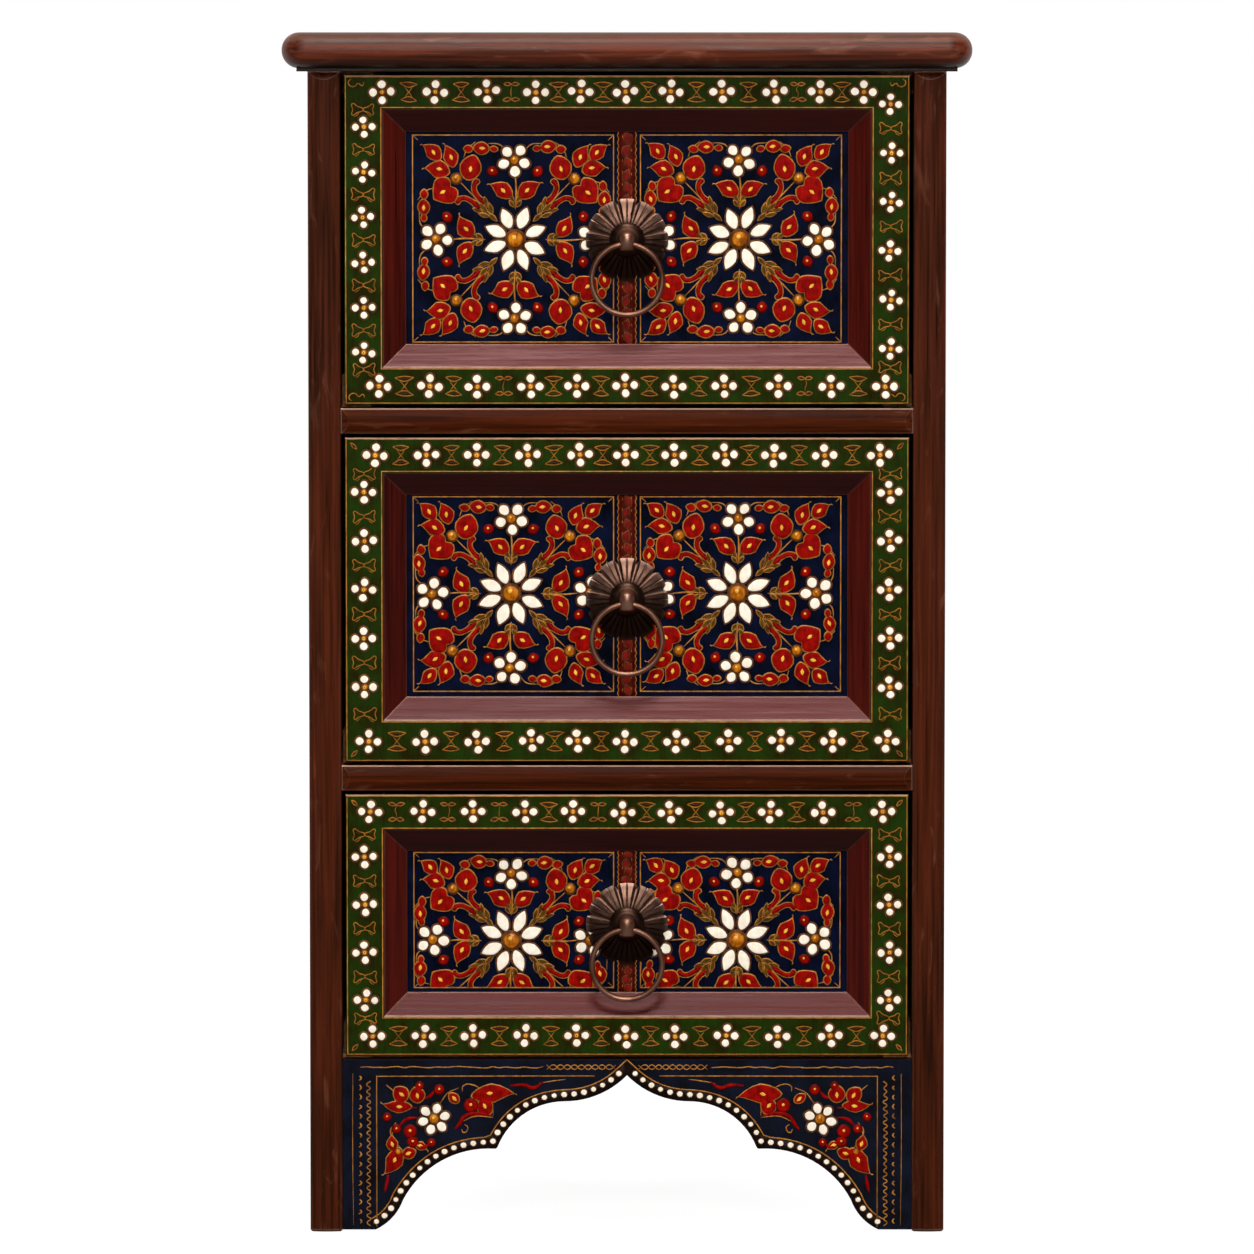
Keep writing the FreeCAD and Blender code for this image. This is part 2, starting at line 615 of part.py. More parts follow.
# Front rails: crowned face, a bevel at each end, tenons in the posts.
front_rails = {}
for level in ("upper", "lower"):
    low, high = at(f"rail_{level}_low"), at(f"rail_{level}_high")
    rail = new_body(f"front_rail_{level}_body")
    edge_y = f"{at('rail_face')} + {size('rail_crown')}"
    section = sketch_on(rail, f"rail_{level}_section", "YZ_Plane", [
        (edge_y, low, size("rail_crown")),
        (edge_y, high),
        (at("rail_back"), high),
        (at("rail_back"), low),
    ])
    pad(rail, section, f"2 * {at('inner_half')}", symmetric=True)
    ease(rail, "Fillet", lambda e: runs_along(e, "x") and lies_at(e, "y", edge_y),
         "Radius", size("edge_round"))
    bevels = []
    for sign in ("", "-"):
        tip = f"{sign}({at('inner_half')} - {size('rail_bevel')})"
        end = f"{sign}{at('inner_half')}"
        past = f"{sign}({at('inner_half')} + {OVERRUN})"
        ahead = f"{at('rail_face')} - {OVERRUN}"
        bevels.append([
            (tip, at("rail_face")),
            (end, edge_y),
            (past, edge_y),
            (past, ahead),
            (tip, ahead),
        ])
    pocket(rail, sketch_on(rail, f"rail_{level}_bevels", "XY_Plane", *bevels))
    middle = f"({at('rail_face')} + {size('rail_depth')} / 2)"
    block(rail, f"rail_{level}_tenons", back_tenon_x,
          (f"{middle} - {size('tenon_thickness')} / 2", f"{middle} + {size('tenon_thickness')} / 2"),
          shouldered((low, high)))
    drawer = "upper" if level == "upper" else "middle"
    front_rails[level] = keep(f"front_rail_{level}",
                              cut(f"front_rail_{level}_form", rail, runner_shapes[drawer]))

# Apron: a board whose lower edge is a pointed arch of two ogee lobes on either side.
apron_body = new_body("apron_body")
foot_x = f"({at('inner_half')} - {size('foot_width')})"
turn_x = f"({at('inner_half')} - {size('foot_turn_in')})"
apron_line = sketch_on(apron_body, "apron_line", "XZ_Plane", [
    (f"-{at('inner_half')}", size("apron_top")),
    (f"-{at('inner_half')}", size("apron_lift")),
    (f"-{foot_x}", size("apron_lift"), f"-{size('foot_sag')}"),
    (f"-{turn_x}", size("foot_turn_up"), size("side_lobe_sag")),
    (f"-{size('cusp_across')}", size("cusp_up"), size("lobe_sag")),
    (f"-{size('arch_turn_across')}", size("arch_turn_up"), f"-{size('apex_sag')}"),
    ("0", size("arch_height"), f"-{size('apex_sag')}"),
    (size("arch_turn_across"), size("arch_turn_up"), size("lobe_sag")),
    (size("cusp_across"), size("cusp_up"), size("side_lobe_sag")),
    (turn_x, size("foot_turn_up"), f"-{size('foot_sag')}"),
    (foot_x, size("apron_lift")),
    (at("inner_half"), size("apron_lift")),
    (at("inner_half"), size("apron_top")),
], height=f"-({at('apron_back')})")
pad(apron_body, apron_line, size("apron_thickness"))


def cusp_edge(edge):
    """The two edges where the lobes meet."""
    across = abs(abs(edge.BoundBox.XMin) - value(size("cusp_across"))) < 1e-2
    return across and runs_along(edge, "y")


ease(apron_body, "Fillet", cusp_edge, "Radius", size("cusp_round"))
apron_middle = f"({at('apron_face')} + {size('apron_thickness')} / 2)"
apron_tenon_y = (f"{apron_middle} - {size('tenon_thickness')} / 2",
                 f"{apron_middle} + {size('tenon_thickness')} / 2")
for side, sign in (("left", "-"), ("right", "")):
    inside = f"{sign}({at('inner_half')} - {OVERRUN})"
    outside = f"{sign}({at('inner_half')} + {size('tenon_length')})"
    reach = (outside, inside) if sign else (inside, outside)
    block(apron_body, f"apron_tenon_{side}", reach, apron_tenon_y,
          (size("apron_tenon_low"), f"{size('apron_top')} - {size('apron_tenon_drop')}"))
apron = keep("apron", cut("apron_form", apron_body, runner_shapes["lower"]))

# Posts: the right-hand pair is made and mirrored; every mortise is cut with its tenon.
front_post = new_body("front_post_body")
corner_y = f"{at('front_y')} + {size('post_crown')}"
front_section = sketch_on(front_post, "front_post_section", "XY_Plane", [
    (at("inner_half"), corner_y, f"-{size('post_crown')}"),
    (at("outer_half"), corner_y),
    (at("outer_half"), at("post_back")),
    (at("inner_half"), at("post_back")),
])
pad(front_post, front_section, at("case_top"))
ease(front_post, "Fillet", lambda e: runs_along(e, "z"), "Radius", size("post_round"))
ease(front_post, "Chamfer", lambda e: lies_at(e, "z", "0"), "Size", size("foot_ease"))
post_bevel = sketch_on(front_post, "post_bevel", "YZ_Plane", [
    (at("front_y"), f"{at('case_top')} - {size('post_bevel')}"),
    (corner_y, at("case_top")),
    (corner_y, f"{at('case_top')} + {OVERRUN}"),
    (f"{at('front_y')} - {OVERRUN}", f"{at('case_top')} + {OVERRUN}"),
    (f"{at('front_y')} - {OVERRUN}", f"{at('case_top')} - {size('post_bevel')}"),
])
pocket(front_post, post_bevel)
front_post = cut("front_post", front_post, front_rails["upper"], front_rails["lower"], apron,
                 side_rails["upper"], side_rails["lower"], side_panel)
keep("front_post_right", front_post)
keep("front_post_left", mirror("front_post_twin", front_post))

back_post = new_body("back_post_body")
back_section = sketch_on(back_post, "back_post_section", "XY_Plane",
                         rectangle((at("inner_half"), at("outer_half")), (at("rear_post"), at("back_y"))))
pad(back_post, back_section, at("case_top"))
ease(back_post, "Fillet", lambda e: runs_along(e, "z"), "Radius", size("post_round"))
ease(back_post, "Chamfer", lambda e: lies_at(e, "z", "0"), "Size", size("foot_ease"))
back_post = cut("back_post", back_post, back_rails["upper"], back_rails["lower"], back_panel,
                side_rails["upper"], side_rails["lower"], side_panel, wood_screws)
keep("back_post_right", back_post)
keep("back_post_left", mirror("back_post_twin", back_post))

# Pull, made once at the origin: the panel's face is y = 0 and forward is -Y.
rosette = new_body("rosette_body")
bore = f"{size('shank_diameter')} / 2 + {size('shank_fit')}"
plate_radius = f"{size('rosette_diameter')} / 2"
collar_radius = f"{size('collar_diameter')} / 2"
dome = sketch_on(rosette, "dome", "XY_Plane", [
    (bore, "0"),
    (plate_radius, "0"),
    (plate_radius, f"-{size('rosette_rim')}", size("petal_swell")),
    (collar_radius, f"-{size('rosette_shoulder')}", size("collar_swell")),
    (f"{size('collar_dish')} / 2", f"-{size('collar_height')}"),
    (bore, f"-{size('collar_height')}"),
])
revolve(rosette, dome)


def radial_tool(name, label):
    """A slim cone that lies along a petal and cuts its groove."""
    high = f"({size('rosette_shoulder')} + {size(label + '_start_rise')})"
    fall = f"({high} - {size('rosette_rim')} - {size(label + '_end_rise')})"
    run = f"({plate_radius} + {OVERRUN} - {collar_radius})"
    tool = rod(rosette, "SubtractiveCone", name,
               {"Radius1": size(label + "_start"), "Radius2": size(label + "_end"),
                "Height": f"sqrt({run}^2 + {fall}^2)"},
               ("0", f"-{high}", collar_radius), Rotation(Vector(1, 0, 0), -10))
    tool.setExpression(".Placement.Rotation.Angle", f"-atan({fall} / {run})")
    return tool


around(rosette, radial_tool("flute_tool", "flute"), "Y_Axis", PETALS)
notch = sketch_on(rosette, "notch", "XZ_Plane", [
    ("0", f"{plate_radius} - {size('notch_depth')}", size("notch_swell")),
    (size("notch_half"), f"{plate_radius} + {OVERRUN} / 2"),
    (f"-{size('notch_half')}", f"{plate_radius} + {OVERRUN} / 2", size("notch_swell")),
])
around(rosette, pocket(rosette, notch), "Y_Axis", PETALS)
around(rosette, radial_tool("crease_tool", "crease"), "Y_Axis", 2 * PETALS)

bolt = new_body("bolt_body")
knob_radius = f"{size('knob_diameter')} / 2"
knob_line = sketch_on(bolt, "knob_line", "XZ_Plane", [
    ("0", f"-{size('knob_below')}"),
    (f"{knob_radius} - {size('knob_ease')}", f"-{size('knob_below')}",
     f"-{size('knob_ease')} * {QUARTER_SWELL}"),
    (knob_radius, f"-{size('knob_below')} + {size('knob_ease')}"),
    (knob_radius, f"{size('knob_above')} - {knob_radius}", f"-{knob_radius} * {QUARTER_SWELL}"),
    ("0", size("knob_above")),
])
revolve(bolt, knob_line)
forward = Rotation(Vector(1, 0, 0), -90)
rod(bolt, "AdditiveCylinder", "neck",
    {"Radius": f"{size('neck_diameter')} / 2",
     "Height": f"{size('knob_standoff')} - {size('collar_height')}"},
    ("0", "0", "0"), forward)
rod(bolt, "AdditiveCylinder", "shank",
    {"Radius": f"{size('shank_diameter')} / 2",
     "Height": f"{size('knob_standoff')} + {size('shank_past')}"},
    ("0", "0", "0"), forward)
rod(bolt, "SubtractiveCylinder", "eye",
    {"Radius": f"{size('ring_wire')} / 2 + {size('eye_clearance')}",
     "Height": f"2 * {size('knob_diameter')}"},
    (f"-{size('knob_diameter')}", "0", f"-{size('eye_drop')}"), Rotation(Vector(0, 1, 0), 90))

nut_hex = doc.addObject("Part::Prism", "nut_hex")
nut_hex.Polygon = 6
nut_hex.setExpression("Circumradius", f"{size('nut_width')} / sqrt(3)")
nut_hex.setExpression("Height", size("nut_height"))
nut_bore = doc.addObject("Part::Cylinder", "nut_bore")
nut_bore.setExpression("Radius", bore)
nut_bore.setExpression("Height", size("nut_height"))
nut = cut("nut_form", nut_hex, nut_bore)

ring = doc.addObject("Part::Torus", "ring_form")
ring.setExpression("Radius1", at("ring_middle"))
ring.setExpression("Radius2", f"{size('ring_wire')} / 2")

panel_bore = doc.addObject("Part::Cylinder", "panel_bore")
panel_bore.setExpression("Radius", bore)
panel_bore.setExpression("Height", f"3 * {size('panel_thickness')}")

# Drawers: three alike but for their height.
STRIP_TURNS = (("bottom", 0), ("right", -90), ("top", 180), ("left", 90))
lying = Rotation(Vector(1, 0, 0), 90)


def front_member(name, x, z, eased):
    """A member of the front frame with its outer edges eased."""
    member = new_body(name + "_body")
    block(member, name + "_block", x, (at("front_face"), at("front_back")), z)

    def outer(edge):
        return any(lies_at(edge, axis, place) for axis, place in eased)

    ease(member, "Fillet", lambda e: lies_at(e, "y", at("front_face")) and outer(e),
         "Radius", size("edge_round"))
    return member


def moulding(drawer, low, high):
    """Four mitred strips that slope from the frame down to the panel."""
    across = f"2 * {at('open_half')}"
    upright = f"({high}) - ({low})"
    corners = {
        "bottom": (across, f"-{at('open_half')}", low),
        "right": (upright, at("open_half"), low),
        "top": (across, at("open_half"), high),
        "left": (upright, f"-{at('open_half')}", high),
    }
    strips = []
    for side, angle in STRIP_TURNS:
        length, x, z = corners[side]
        strip = doc.addObject("Part::Wedge", f"{drawer}_strip_{side}")
        strip.Placement = Placement(Vector(), Rotation(Vector(0, 1, 0), angle).multiply(lying))
        strip.setExpression("Xmax", length)
        strip.setExpression("Ymax", size("moulding_width"))
        strip.setExpression("Zmax", f"{size('moulding_depth')} - {size('moulding_set')}")
        strip.setExpression("X2max", f"{length} - {size('moulding_width')}")
        strip.setExpression("X2min", size("moulding_width"))
        strip.setExpression("Z2max", size("moulding_lip"))
        for corner in ("Xmin", "Ymin", "Zmin", "Z2min"):
            setattr(strip, corner, 0)
        for letter, formula in zip("xyz", (x, at("panel_face"), z)):
            strip.setExpression(f".Placement.Base.{letter}", formula)
        strips.append(strip)
    return group(f"{drawer}_strips", *strips)


for drawer in ("upper", "middle", "lower"):
    low, high = at(f"{drawer}_low"), at(f"{drawer}_high")
    centre = f"({low} + {high}) / 2"
    open_low = f"{low} + {size('frame_bottom_' + drawer)}"
    open_high = f"{high} - {size('frame_top_' + drawer)}"
    side_top = f"{high} - {size('side_drop')}"
    bottom_low = f"{low} + {size('bottom_lift')}"
    bottom_high = f"{bottom_low} + {size('bottom_thickness')}"
    groove_half = f"{at('open_half')} + {size('frame_groove')}"
    groove_y = (at("panel_face"), at("panel_back"))
    housed = f"{at('front_back')} - {size('housing_depth')}"

    bottom = box(f"{drawer}_bottom_board", both_ways(at("dado_half")), (housed, at("drawer_back_rear")),
                 (bottom_low, bottom_high))
    rear = box(f"{drawer}_back_board", both_ways(at("dado_half")),
               (f"{at('drawer_back_rear')} - {size('drawer_back_thickness')}", at("drawer_back_rear")),
               (bottom_high, side_top))
    side = box(f"{drawer}_side_blank", (at("box_inner"), at("box_half")), (housed, at("drawer_end")),
               (low, side_top))
    side = cut(f"{drawer}_side", side, bottom, rear)
    keep(f"{drawer}_side_right", side)
    keep(f"{drawer}_side_left", mirror(f"{drawer}_side_twin", side))
    keep(f"{drawer}_bottom", bottom)
    keep(f"{drawer}_back", rear)

    panel = box(f"{drawer}_panel_blank", both_ways(groove_half), groove_y,
                (f"{open_low} - {size('frame_groove')}", f"{open_high} + {size('frame_groove')}"))
    bore_here = instance(f"{drawer}_bore", panel_bore, "0",
                         f"{at('panel_back')} + {size('panel_thickness')}", centre, lying)
    keep(f"{drawer}_panel", cut(f"{drawer}_panel_form", panel, bore_here))

    lower_rail = front_member(f"{drawer}_rail_bottom", both_ways(at("open_half")), (low, open_low),
                              [("z", low)])
    upper_rail = front_member(f"{drawer}_rail_top", both_ways(at("open_half")), (open_high, high),
                              [("z", high)])
    block(lower_rail, f"{drawer}_tenon_bottom", both_ways(groove_half), groove_y,
          (f"{low} + {size('tenon_shoulder')}", f"{open_low} - {size('frame_groove')}"))
    block(upper_rail, f"{drawer}_tenon_top", both_ways(groove_half), groove_y,
          (f"{open_high} + {size('frame_groove')}", f"{high} - {size('tenon_shoulder')}"))
    lower_rail = cut(f"{drawer}_rail_bottom", lower_rail, panel, bottom)
    upper_rail = cut(f"{drawer}_rail_top", upper_rail, panel)
    keep(f"{drawer}_front_rails", group(f"{drawer}_frame_rails", lower_rail, upper_rail))

    stile = front_member(f"{drawer}_stile", (at("open_half"), at("front_half")), (low, high),
                         [("x", at("front_half")), ("z", low), ("z", high)])
    stile = cut(f"{drawer}_stile", stile, panel, lower_rail, upper_rail, side, bottom)
    twin = mirror(f"{drawer}_stile_twin", stile)
    keep(f"{drawer}_front_stiles", group(f"{drawer}_stile_pair", stile, twin))
    keep(f"{drawer}_moulding", moulding(drawer, open_low, open_high))

    knob_y = f"{at('panel_face')} - {size('knob_standoff')}"
    keep(f"{drawer}_rosette", instance(f"{drawer}_plate", rosette, "0", at("panel_face"), centre,
                                       Rotation(Vector(0, 1, 0), 180 / PETALS)))
    keep(f"{drawer}_eye_bolt", instance(f"{drawer}_bolt", bolt, "0", knob_y, centre))
    keep(f"{drawer}_nut", instance(f"{drawer}_hex", nut, "0", f"{at('panel_back')} + {size('nut_height')}",
                                   centre, lying))
    keep(f"{drawer}_ring", instance(f"{drawer}_loop", ring, "0", knob_y,
                                    f"{centre} - {size('eye_drop')} - {at('ring_middle')}", lying))

doc.recompute()
for item in doc.Objects:
    if "Invalid" in item.State or "Error" in item.State:
        raise RuntimeError(f"{item.Label} did not build: {item.State}")
for node, made in finished.items():
    if made.Shape.isNull() or not made.Shape.isValid():
        raise RuntimeError(f"{node} has no sound shape")
    made.Shape.exportStep(f"parts/{node}.step")
print(f"{len(finished)} sub-parts written")
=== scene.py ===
# %% [markdown]
# A small painted chest with three drawers. The joiner's model arrives as a fixed frame: posts,
# rails, drawers and pulls are already the right shape and size. This script gives every surface
# its finish and adds the painter's work as thin raised paint: flowers, leaves, beads and lines.

# %% The joiner's model
import json
import math
import random

import bmesh
import bpy
from mathutils import Matrix, Vector


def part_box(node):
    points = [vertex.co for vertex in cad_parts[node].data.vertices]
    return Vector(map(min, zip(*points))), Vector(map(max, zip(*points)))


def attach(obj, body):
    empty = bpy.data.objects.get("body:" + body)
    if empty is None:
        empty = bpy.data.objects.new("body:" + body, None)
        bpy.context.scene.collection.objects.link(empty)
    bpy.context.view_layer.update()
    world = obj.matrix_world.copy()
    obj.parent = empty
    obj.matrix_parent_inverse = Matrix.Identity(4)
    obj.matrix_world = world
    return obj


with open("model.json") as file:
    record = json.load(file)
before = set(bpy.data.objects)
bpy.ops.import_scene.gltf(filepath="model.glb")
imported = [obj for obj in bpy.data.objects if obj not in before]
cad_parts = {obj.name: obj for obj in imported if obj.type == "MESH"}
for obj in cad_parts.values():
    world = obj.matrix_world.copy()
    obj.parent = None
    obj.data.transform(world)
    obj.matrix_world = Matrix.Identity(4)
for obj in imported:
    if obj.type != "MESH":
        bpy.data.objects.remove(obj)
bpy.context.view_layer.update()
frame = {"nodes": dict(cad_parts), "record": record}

scene = bpy.context.scene
scene.view_settings.view_transform = "Standard"
MM = 0.001
DRAWERS = ("upper", "middle", "lower")

# %% [markdown]
# The camera stands straight in front at the height of the top, and far away with a long lens, so
# the chest keeps its upright lines. The picture is square and the field at the front of the posts
# is set as a width; the lens length follows from that and the distance.

# %% Camera
FRONT_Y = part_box("front_post_left")[0].y
FIELD = 0.79
DISTANCE = 5.0
EYE_HEIGHT = 0.735
AIM_POINT = Vector((0.0, FRONT_Y, 0.385))


def put(name, data, spot=(0, 0, 0), aim=None):
    """A new object in the scene, turned to look at a point if there is one."""
    item = bpy.data.objects.new(name, data)
    scene.collection.objects.link(item)
    item.location = spot
    if aim is not None:
        item.rotation_euler = (aim - item.location).to_track_quat("-Z", "Y").to_euler()
    return item


view = bpy.data.cameras.new("camera")
view.sensor_width = 36
view.lens = view.sensor_width * DISTANCE / FIELD
scene.camera = put("camera", view, (AIM_POINT.x, FRONT_Y - DISTANCE, EYE_HEIGHT), AIM_POINT)
print("camera lens", round(view.lens, 1), "mm")

# %% [markdown]
# Materials are made of nodes. Small helpers keep them readable: one turns a colour as a screen
# shows it (0 to 255) into the linear numbers that a shader takes, and one adds a node and fills
# its sockets, by a link where the value is another node's output.

# %% Node helpers
def colour(*levels):
    """A screen colour as a shader's colour."""
    shares = [level / 255 for level in levels]
    return tuple(share / 12.92 if share <= 0.04045 else ((share + 0.055) / 1.055) ** 2.4
                 for share in shares) + (1.0,)


def fill(tree, sockets, values):
    """Fills input sockets, by a link where the value is another node's output."""
    for name, value in values.items():
        if isinstance(value, bpy.types.NodeSocket):
            tree.links.new(value, sockets[name])
        else:
            sockets[name].default_value = value


def add(tree, kind, sockets, **settings):
    """A new node with its settings and its input sockets filled."""
    node = tree.nodes.new("ShaderNode" + kind)
    for name, value in settings.items():
        setattr(node, name, value)
    fill(tree, node.inputs, sockets)
    return node


def noise(tree, place, scale, detail=3.0, stretch=(1, 1, 1), twist=0.0):
    """A noise pattern on stretched coordinates, from 0 to 1."""
    run = add(tree, "Mapping", {"Vector": place, "Scale": stretch})
    return add(tree, "TexNoise", {"Vector": run.outputs["Vector"], "Scale": scale, "Detail": detail,
                                  "Distortion": twist}).outputs["Fac"]


def spread(tree, value, low, high, to_low=0.0, to_high=1.0):
    """A value taken from one range to another, held at both ends."""
    return add(tree, "MapRange", {"Value": value, "From Min": low, "From Max": high,
                                  "To Min": to_low, "To Max": to_high}).outputs["Result"]


def math_of(tree, operation, first, second):
    """Two values joined by a sum, a product or another operation."""
    return add(tree, "Math", {0: first, 1: second}, operation=operation).outputs["Value"]


def times(tree, *values):
    """The product of values."""
    product = values[0]
    for value in values[1:]:
        product = math_of(tree, "MULTIPLY", product, value)
    return product


def axis(tree, vector, name):
    """One coordinate of a vector."""
    return add(tree, "SeparateXYZ", {"Vector": vector}).outputs[name]


def blend(tree, share, first, second):
    """Two colours mixed by a share from 0 to 1."""
    return add(tree, "Mix", {0: share, 6: first, 7: second}, data_type="RGBA").outputs[2]


print("screen grey 128 is", round(colour(128)[0], 3), "in a shader")

# %% [markdown]
# A material starts with its shader's sockets and the coordinates of the piece itself. An effect
# that several materials share is a group with named sockets, placed in each with its own values.

# %% Materials and groups
WHITE = (1, 1, 1, 1)
SOCKET_KINDS = {"Vector": "Vector", "Color": "Color", "Dark": "Color", "Light": "Color",
                "Main": "Color", "Deep": "Color"}
BEVEL_SAMPLES = 6


def start_material(name, specular, sheen=WHITE, metallic=0.0):
    """A material, its nodes, its shader's sockets and the coordinates of the piece."""
    material = bpy.data.materials.new(name)
    material.use_nodes = True
    tree = material.node_tree
    sockets = tree.nodes["Principled BSDF"].inputs
    fill(tree, sockets, {"Specular IOR Level": specular, "Specular Tint": sheen, "Metallic": metallic})
    return material, tree, sockets, add(tree, "TexCoord", {}).outputs["Object"]


def new_group(name, inputs, outputs):
    """A node group with named sockets, what its entry gives and what its exit takes."""
    group = bpy.data.node_groups.new(name, "ShaderNodeTree")
    for way, labels in (("INPUT", inputs), ("OUTPUT", outputs)):
        for label in labels:
            kind = "NodeSocket" + SOCKET_KINDS.get(label, "Float")
            group.interface.new_socket(label, in_out=way, socket_type=kind)
    entry = group.nodes.new("NodeGroupInput").outputs
    leave = group.nodes.new("NodeGroupOutput").inputs
    return group, entry, leave


def use_group(tree, group, sockets):
    """A group placed in a material."""
    return add(tree, "Group", sockets, node_tree=group).outputs


def raise_bump(tree, sockets, height, depth, eased=0.0, strength=0.6):
    """The relief of a finish, as a bump of that depth in metres, over edges eased by a radius."""
    bump = add(tree, "Bump", {"Height": height, "Strength": strength, "Distance": depth})
    if eased:
        round_edge = add(tree, "Bevel", {"Radius": eased}, samples=BEVEL_SAMPLES)
        fill(tree, bump.inputs, {"Normal": round_edge.outputs["Normal"]})
    fill(tree, sockets, {"Normal": bump.outputs["Normal"]})


print("kinds of sockets", sorted(set(SOCKET_KINDS.values())))

# %% [markdown]
# The chest stands on a pale floor in front of a white wall, as in a plain studio. The floor is
# white paper: a glow lifts what the camera and shiny surfaces see of it to white, and its own
# shading lies over that, so the chest leaves its soft shadow. In front of the chest the studio is
# dim, so what the dark lacquer mirrors there gets little of the glow.

# %% Floor
FLOOR_HALF = 6
FLOOR_GLOW = 0.94
DIM_GLOW = 0.04


def mesh_from(bm, name):
    """The mesh of an edited shape, which is let go."""
    mesh = bpy.data.meshes.new(name)
    bm.to_mesh(mesh)
    bm.free()
    return mesh


def seen_rays(tree, path, mirrored):
    """Rays from the camera, rays through glass and a share of the mirrored ones."""
    return math_of(tree, "MAXIMUM", path["Is Camera Ray"],
                   math_of(tree, "MAXIMUM", mirrored, path["Is Transmission Ray"]))


bm = bmesh.new()
bmesh.ops.create_grid(bm, x_segments=1, y_segments=1, size=FLOOR_HALF)
floor = put("floor", mesh_from(bm, "floor"))

paper, tree, sockets, place = start_material("studio_paper", 0.0)
fibre = noise(tree, place, 40.0)
fill(tree, sockets, {"Base Color": blend(tree, fibre, colour(104, 104, 104), colour(114, 114, 114)),
                     "Roughness": 0.9})
path = add(tree, "LightPath", {}).outputs
depth = axis(tree, place, "Y")
mirrored = times(tree, path["Is Glossy Ray"], spread(tree, depth, -0.25, 0.3, DIM_GLOW))
far_glow = spread(tree, depth, 0.5, 4.0, FLOOR_GLOW)
glow = add(tree, "Emission", {
    "Color": WHITE, "Strength": times(tree, seen_rays(tree, path, mirrored), far_glow)})
both = add(tree, "AddShader", {0: tree.nodes["Principled BSDF"].outputs["BSDF"],
                               1: glow.outputs["Emission"]})
fill(tree, tree.nodes["Material Output"].inputs, {"Surface": both.outputs["Shader"]})
floor.data.materials.append(paper)
print("floor", floor.name)

# %% [markdown]
# The wall behind is white to the camera. Dark lacquer and bronze mirror the room as well, and the
# room in front of a photographed object is dim, so the white fades towards the camera's side for
# mirrored rays. Rays that carry soft light get an even grey.

# %% Room light
ROOM_GREY = 0.2
ROOM_FRONT = 0.03
world = bpy.data.worlds.new("room")
scene.world = world
world.use_nodes = True
tree = world.node_tree
soft = tree.nodes["Background"]
fill(tree, soft.inputs, {"Color": WHITE, "Strength": ROOM_GREY})
path = add(tree, "LightPath", {}).outputs
direction = add(tree, "TexCoord", {}).outputs["Generated"]
mirrored = spread(tree, axis(tree, direction, "Y"), -0.15, 0.5, ROOM_FRONT)
strength = math_of(tree, "MAXIMUM", path["Is Camera Ray"], mirrored)
wall = add(tree, "Background", {"Color": WHITE, "Strength": strength})
both = add(tree, "MixShader", {0: seen_rays(tree, path, path["Is Glossy Ray"]),
                               1: soft.outputs["Background"], 2: wall.outputs["Background"]})
fill(tree, tree.nodes["World Output"].inputs, {"Surface": both.outputs["Shader"]})
print("room light", ROOM_GREY)

# %% [markdown]
# Six soft lamps. The key stands in front, above the chest, and gives the knobs and the round edge
# of the top their highlights. One high above is what the sloped strips under the panels mirror.
# Two fills stand low to the left and right. They are meant as large bounce boards, so they light
# the paint evenly and leave no highlight of their own. Two more stand behind, one on each side, so
# that the sides and the back are as bright as the front; the front never sees them.

# %% Lamps
CHEST_MIDDLE = Vector((0, FRONT_Y, 0.4))
LAMPS = (("key", (0.1, -4.4, 2.5), 1.2, 92, True), ("overhead", (0, -1.65, 3.6), 1.2, 58, True),
         ("fill_left", (-1.6, -2.6, 0.5), 1.0, 21, False), ("fill_right", (1.6, -2.6, 0.5), 1.0, 20, False),
         ("side_left", (-3.4, 1.8, 1.6), 1.4, 125, False), ("side_right", (3.4, 1.8, 1.6), 1.4, 125, False))
for name, spot, size, power, mirrored in LAMPS:
    data = bpy.data.lights.new(name, "AREA")
    data.shape = "SQUARE"
    data.size = size
    data.energy = power
    put(name, data, spot, CHEST_MIDDLE).visible_glossy = mirrored
print("lamps", [item.name for item in bpy.data.lights])

# %% [markdown]
# The posts, rails and top are a dark stained hardwood with long fine fibres. Wood grain is noise
# that is stretched along the board: broad bands for the year rings, fine threads for the fibres
# and short dark ticks for the pores. One group makes it, and each board turns it its own way.

# %% Wood grain
wood_grain, entry, leave = new_group(
    "wood_grain", ("Vector", "Dark", "Light", "Roughness"), ("Color", "Roughness", "Height"))
tree = wood_grain
bands = noise(tree, entry["Vector"], 1.0, 4.0, (3, 24, 24), 0.8)
threads = noise(tree, entry["Vector"], 1.0, 2.0, (12, 520, 520))
ticks = noise(tree, entry["Vector"], 1.0, 1.0, (70, 1500, 1500))
pores = spread(tree, ticks, 0.62, 0.74)
figure = math_of(tree, "ADD", times(tree, bands, 0.36), times(tree, threads, 0.64))
stain = blend(tree, spread(tree, figure, 0.36, 0.64), entry["Dark"], entry["Light"])
dulled = spread(tree, threads, 0.3, 0.7, -0.07, 0.1)
fill(tree, leave, {"Color": blend(tree, times(tree, pores, 0.55), stain, entry["Dark"]),
                   "Roughness": math_of(tree, "ADD", entry["Roughness"], dulled),
                   "Height": math_of(tree, "SUBTRACT", threads, pores)})
print("group", wood_grain.name)
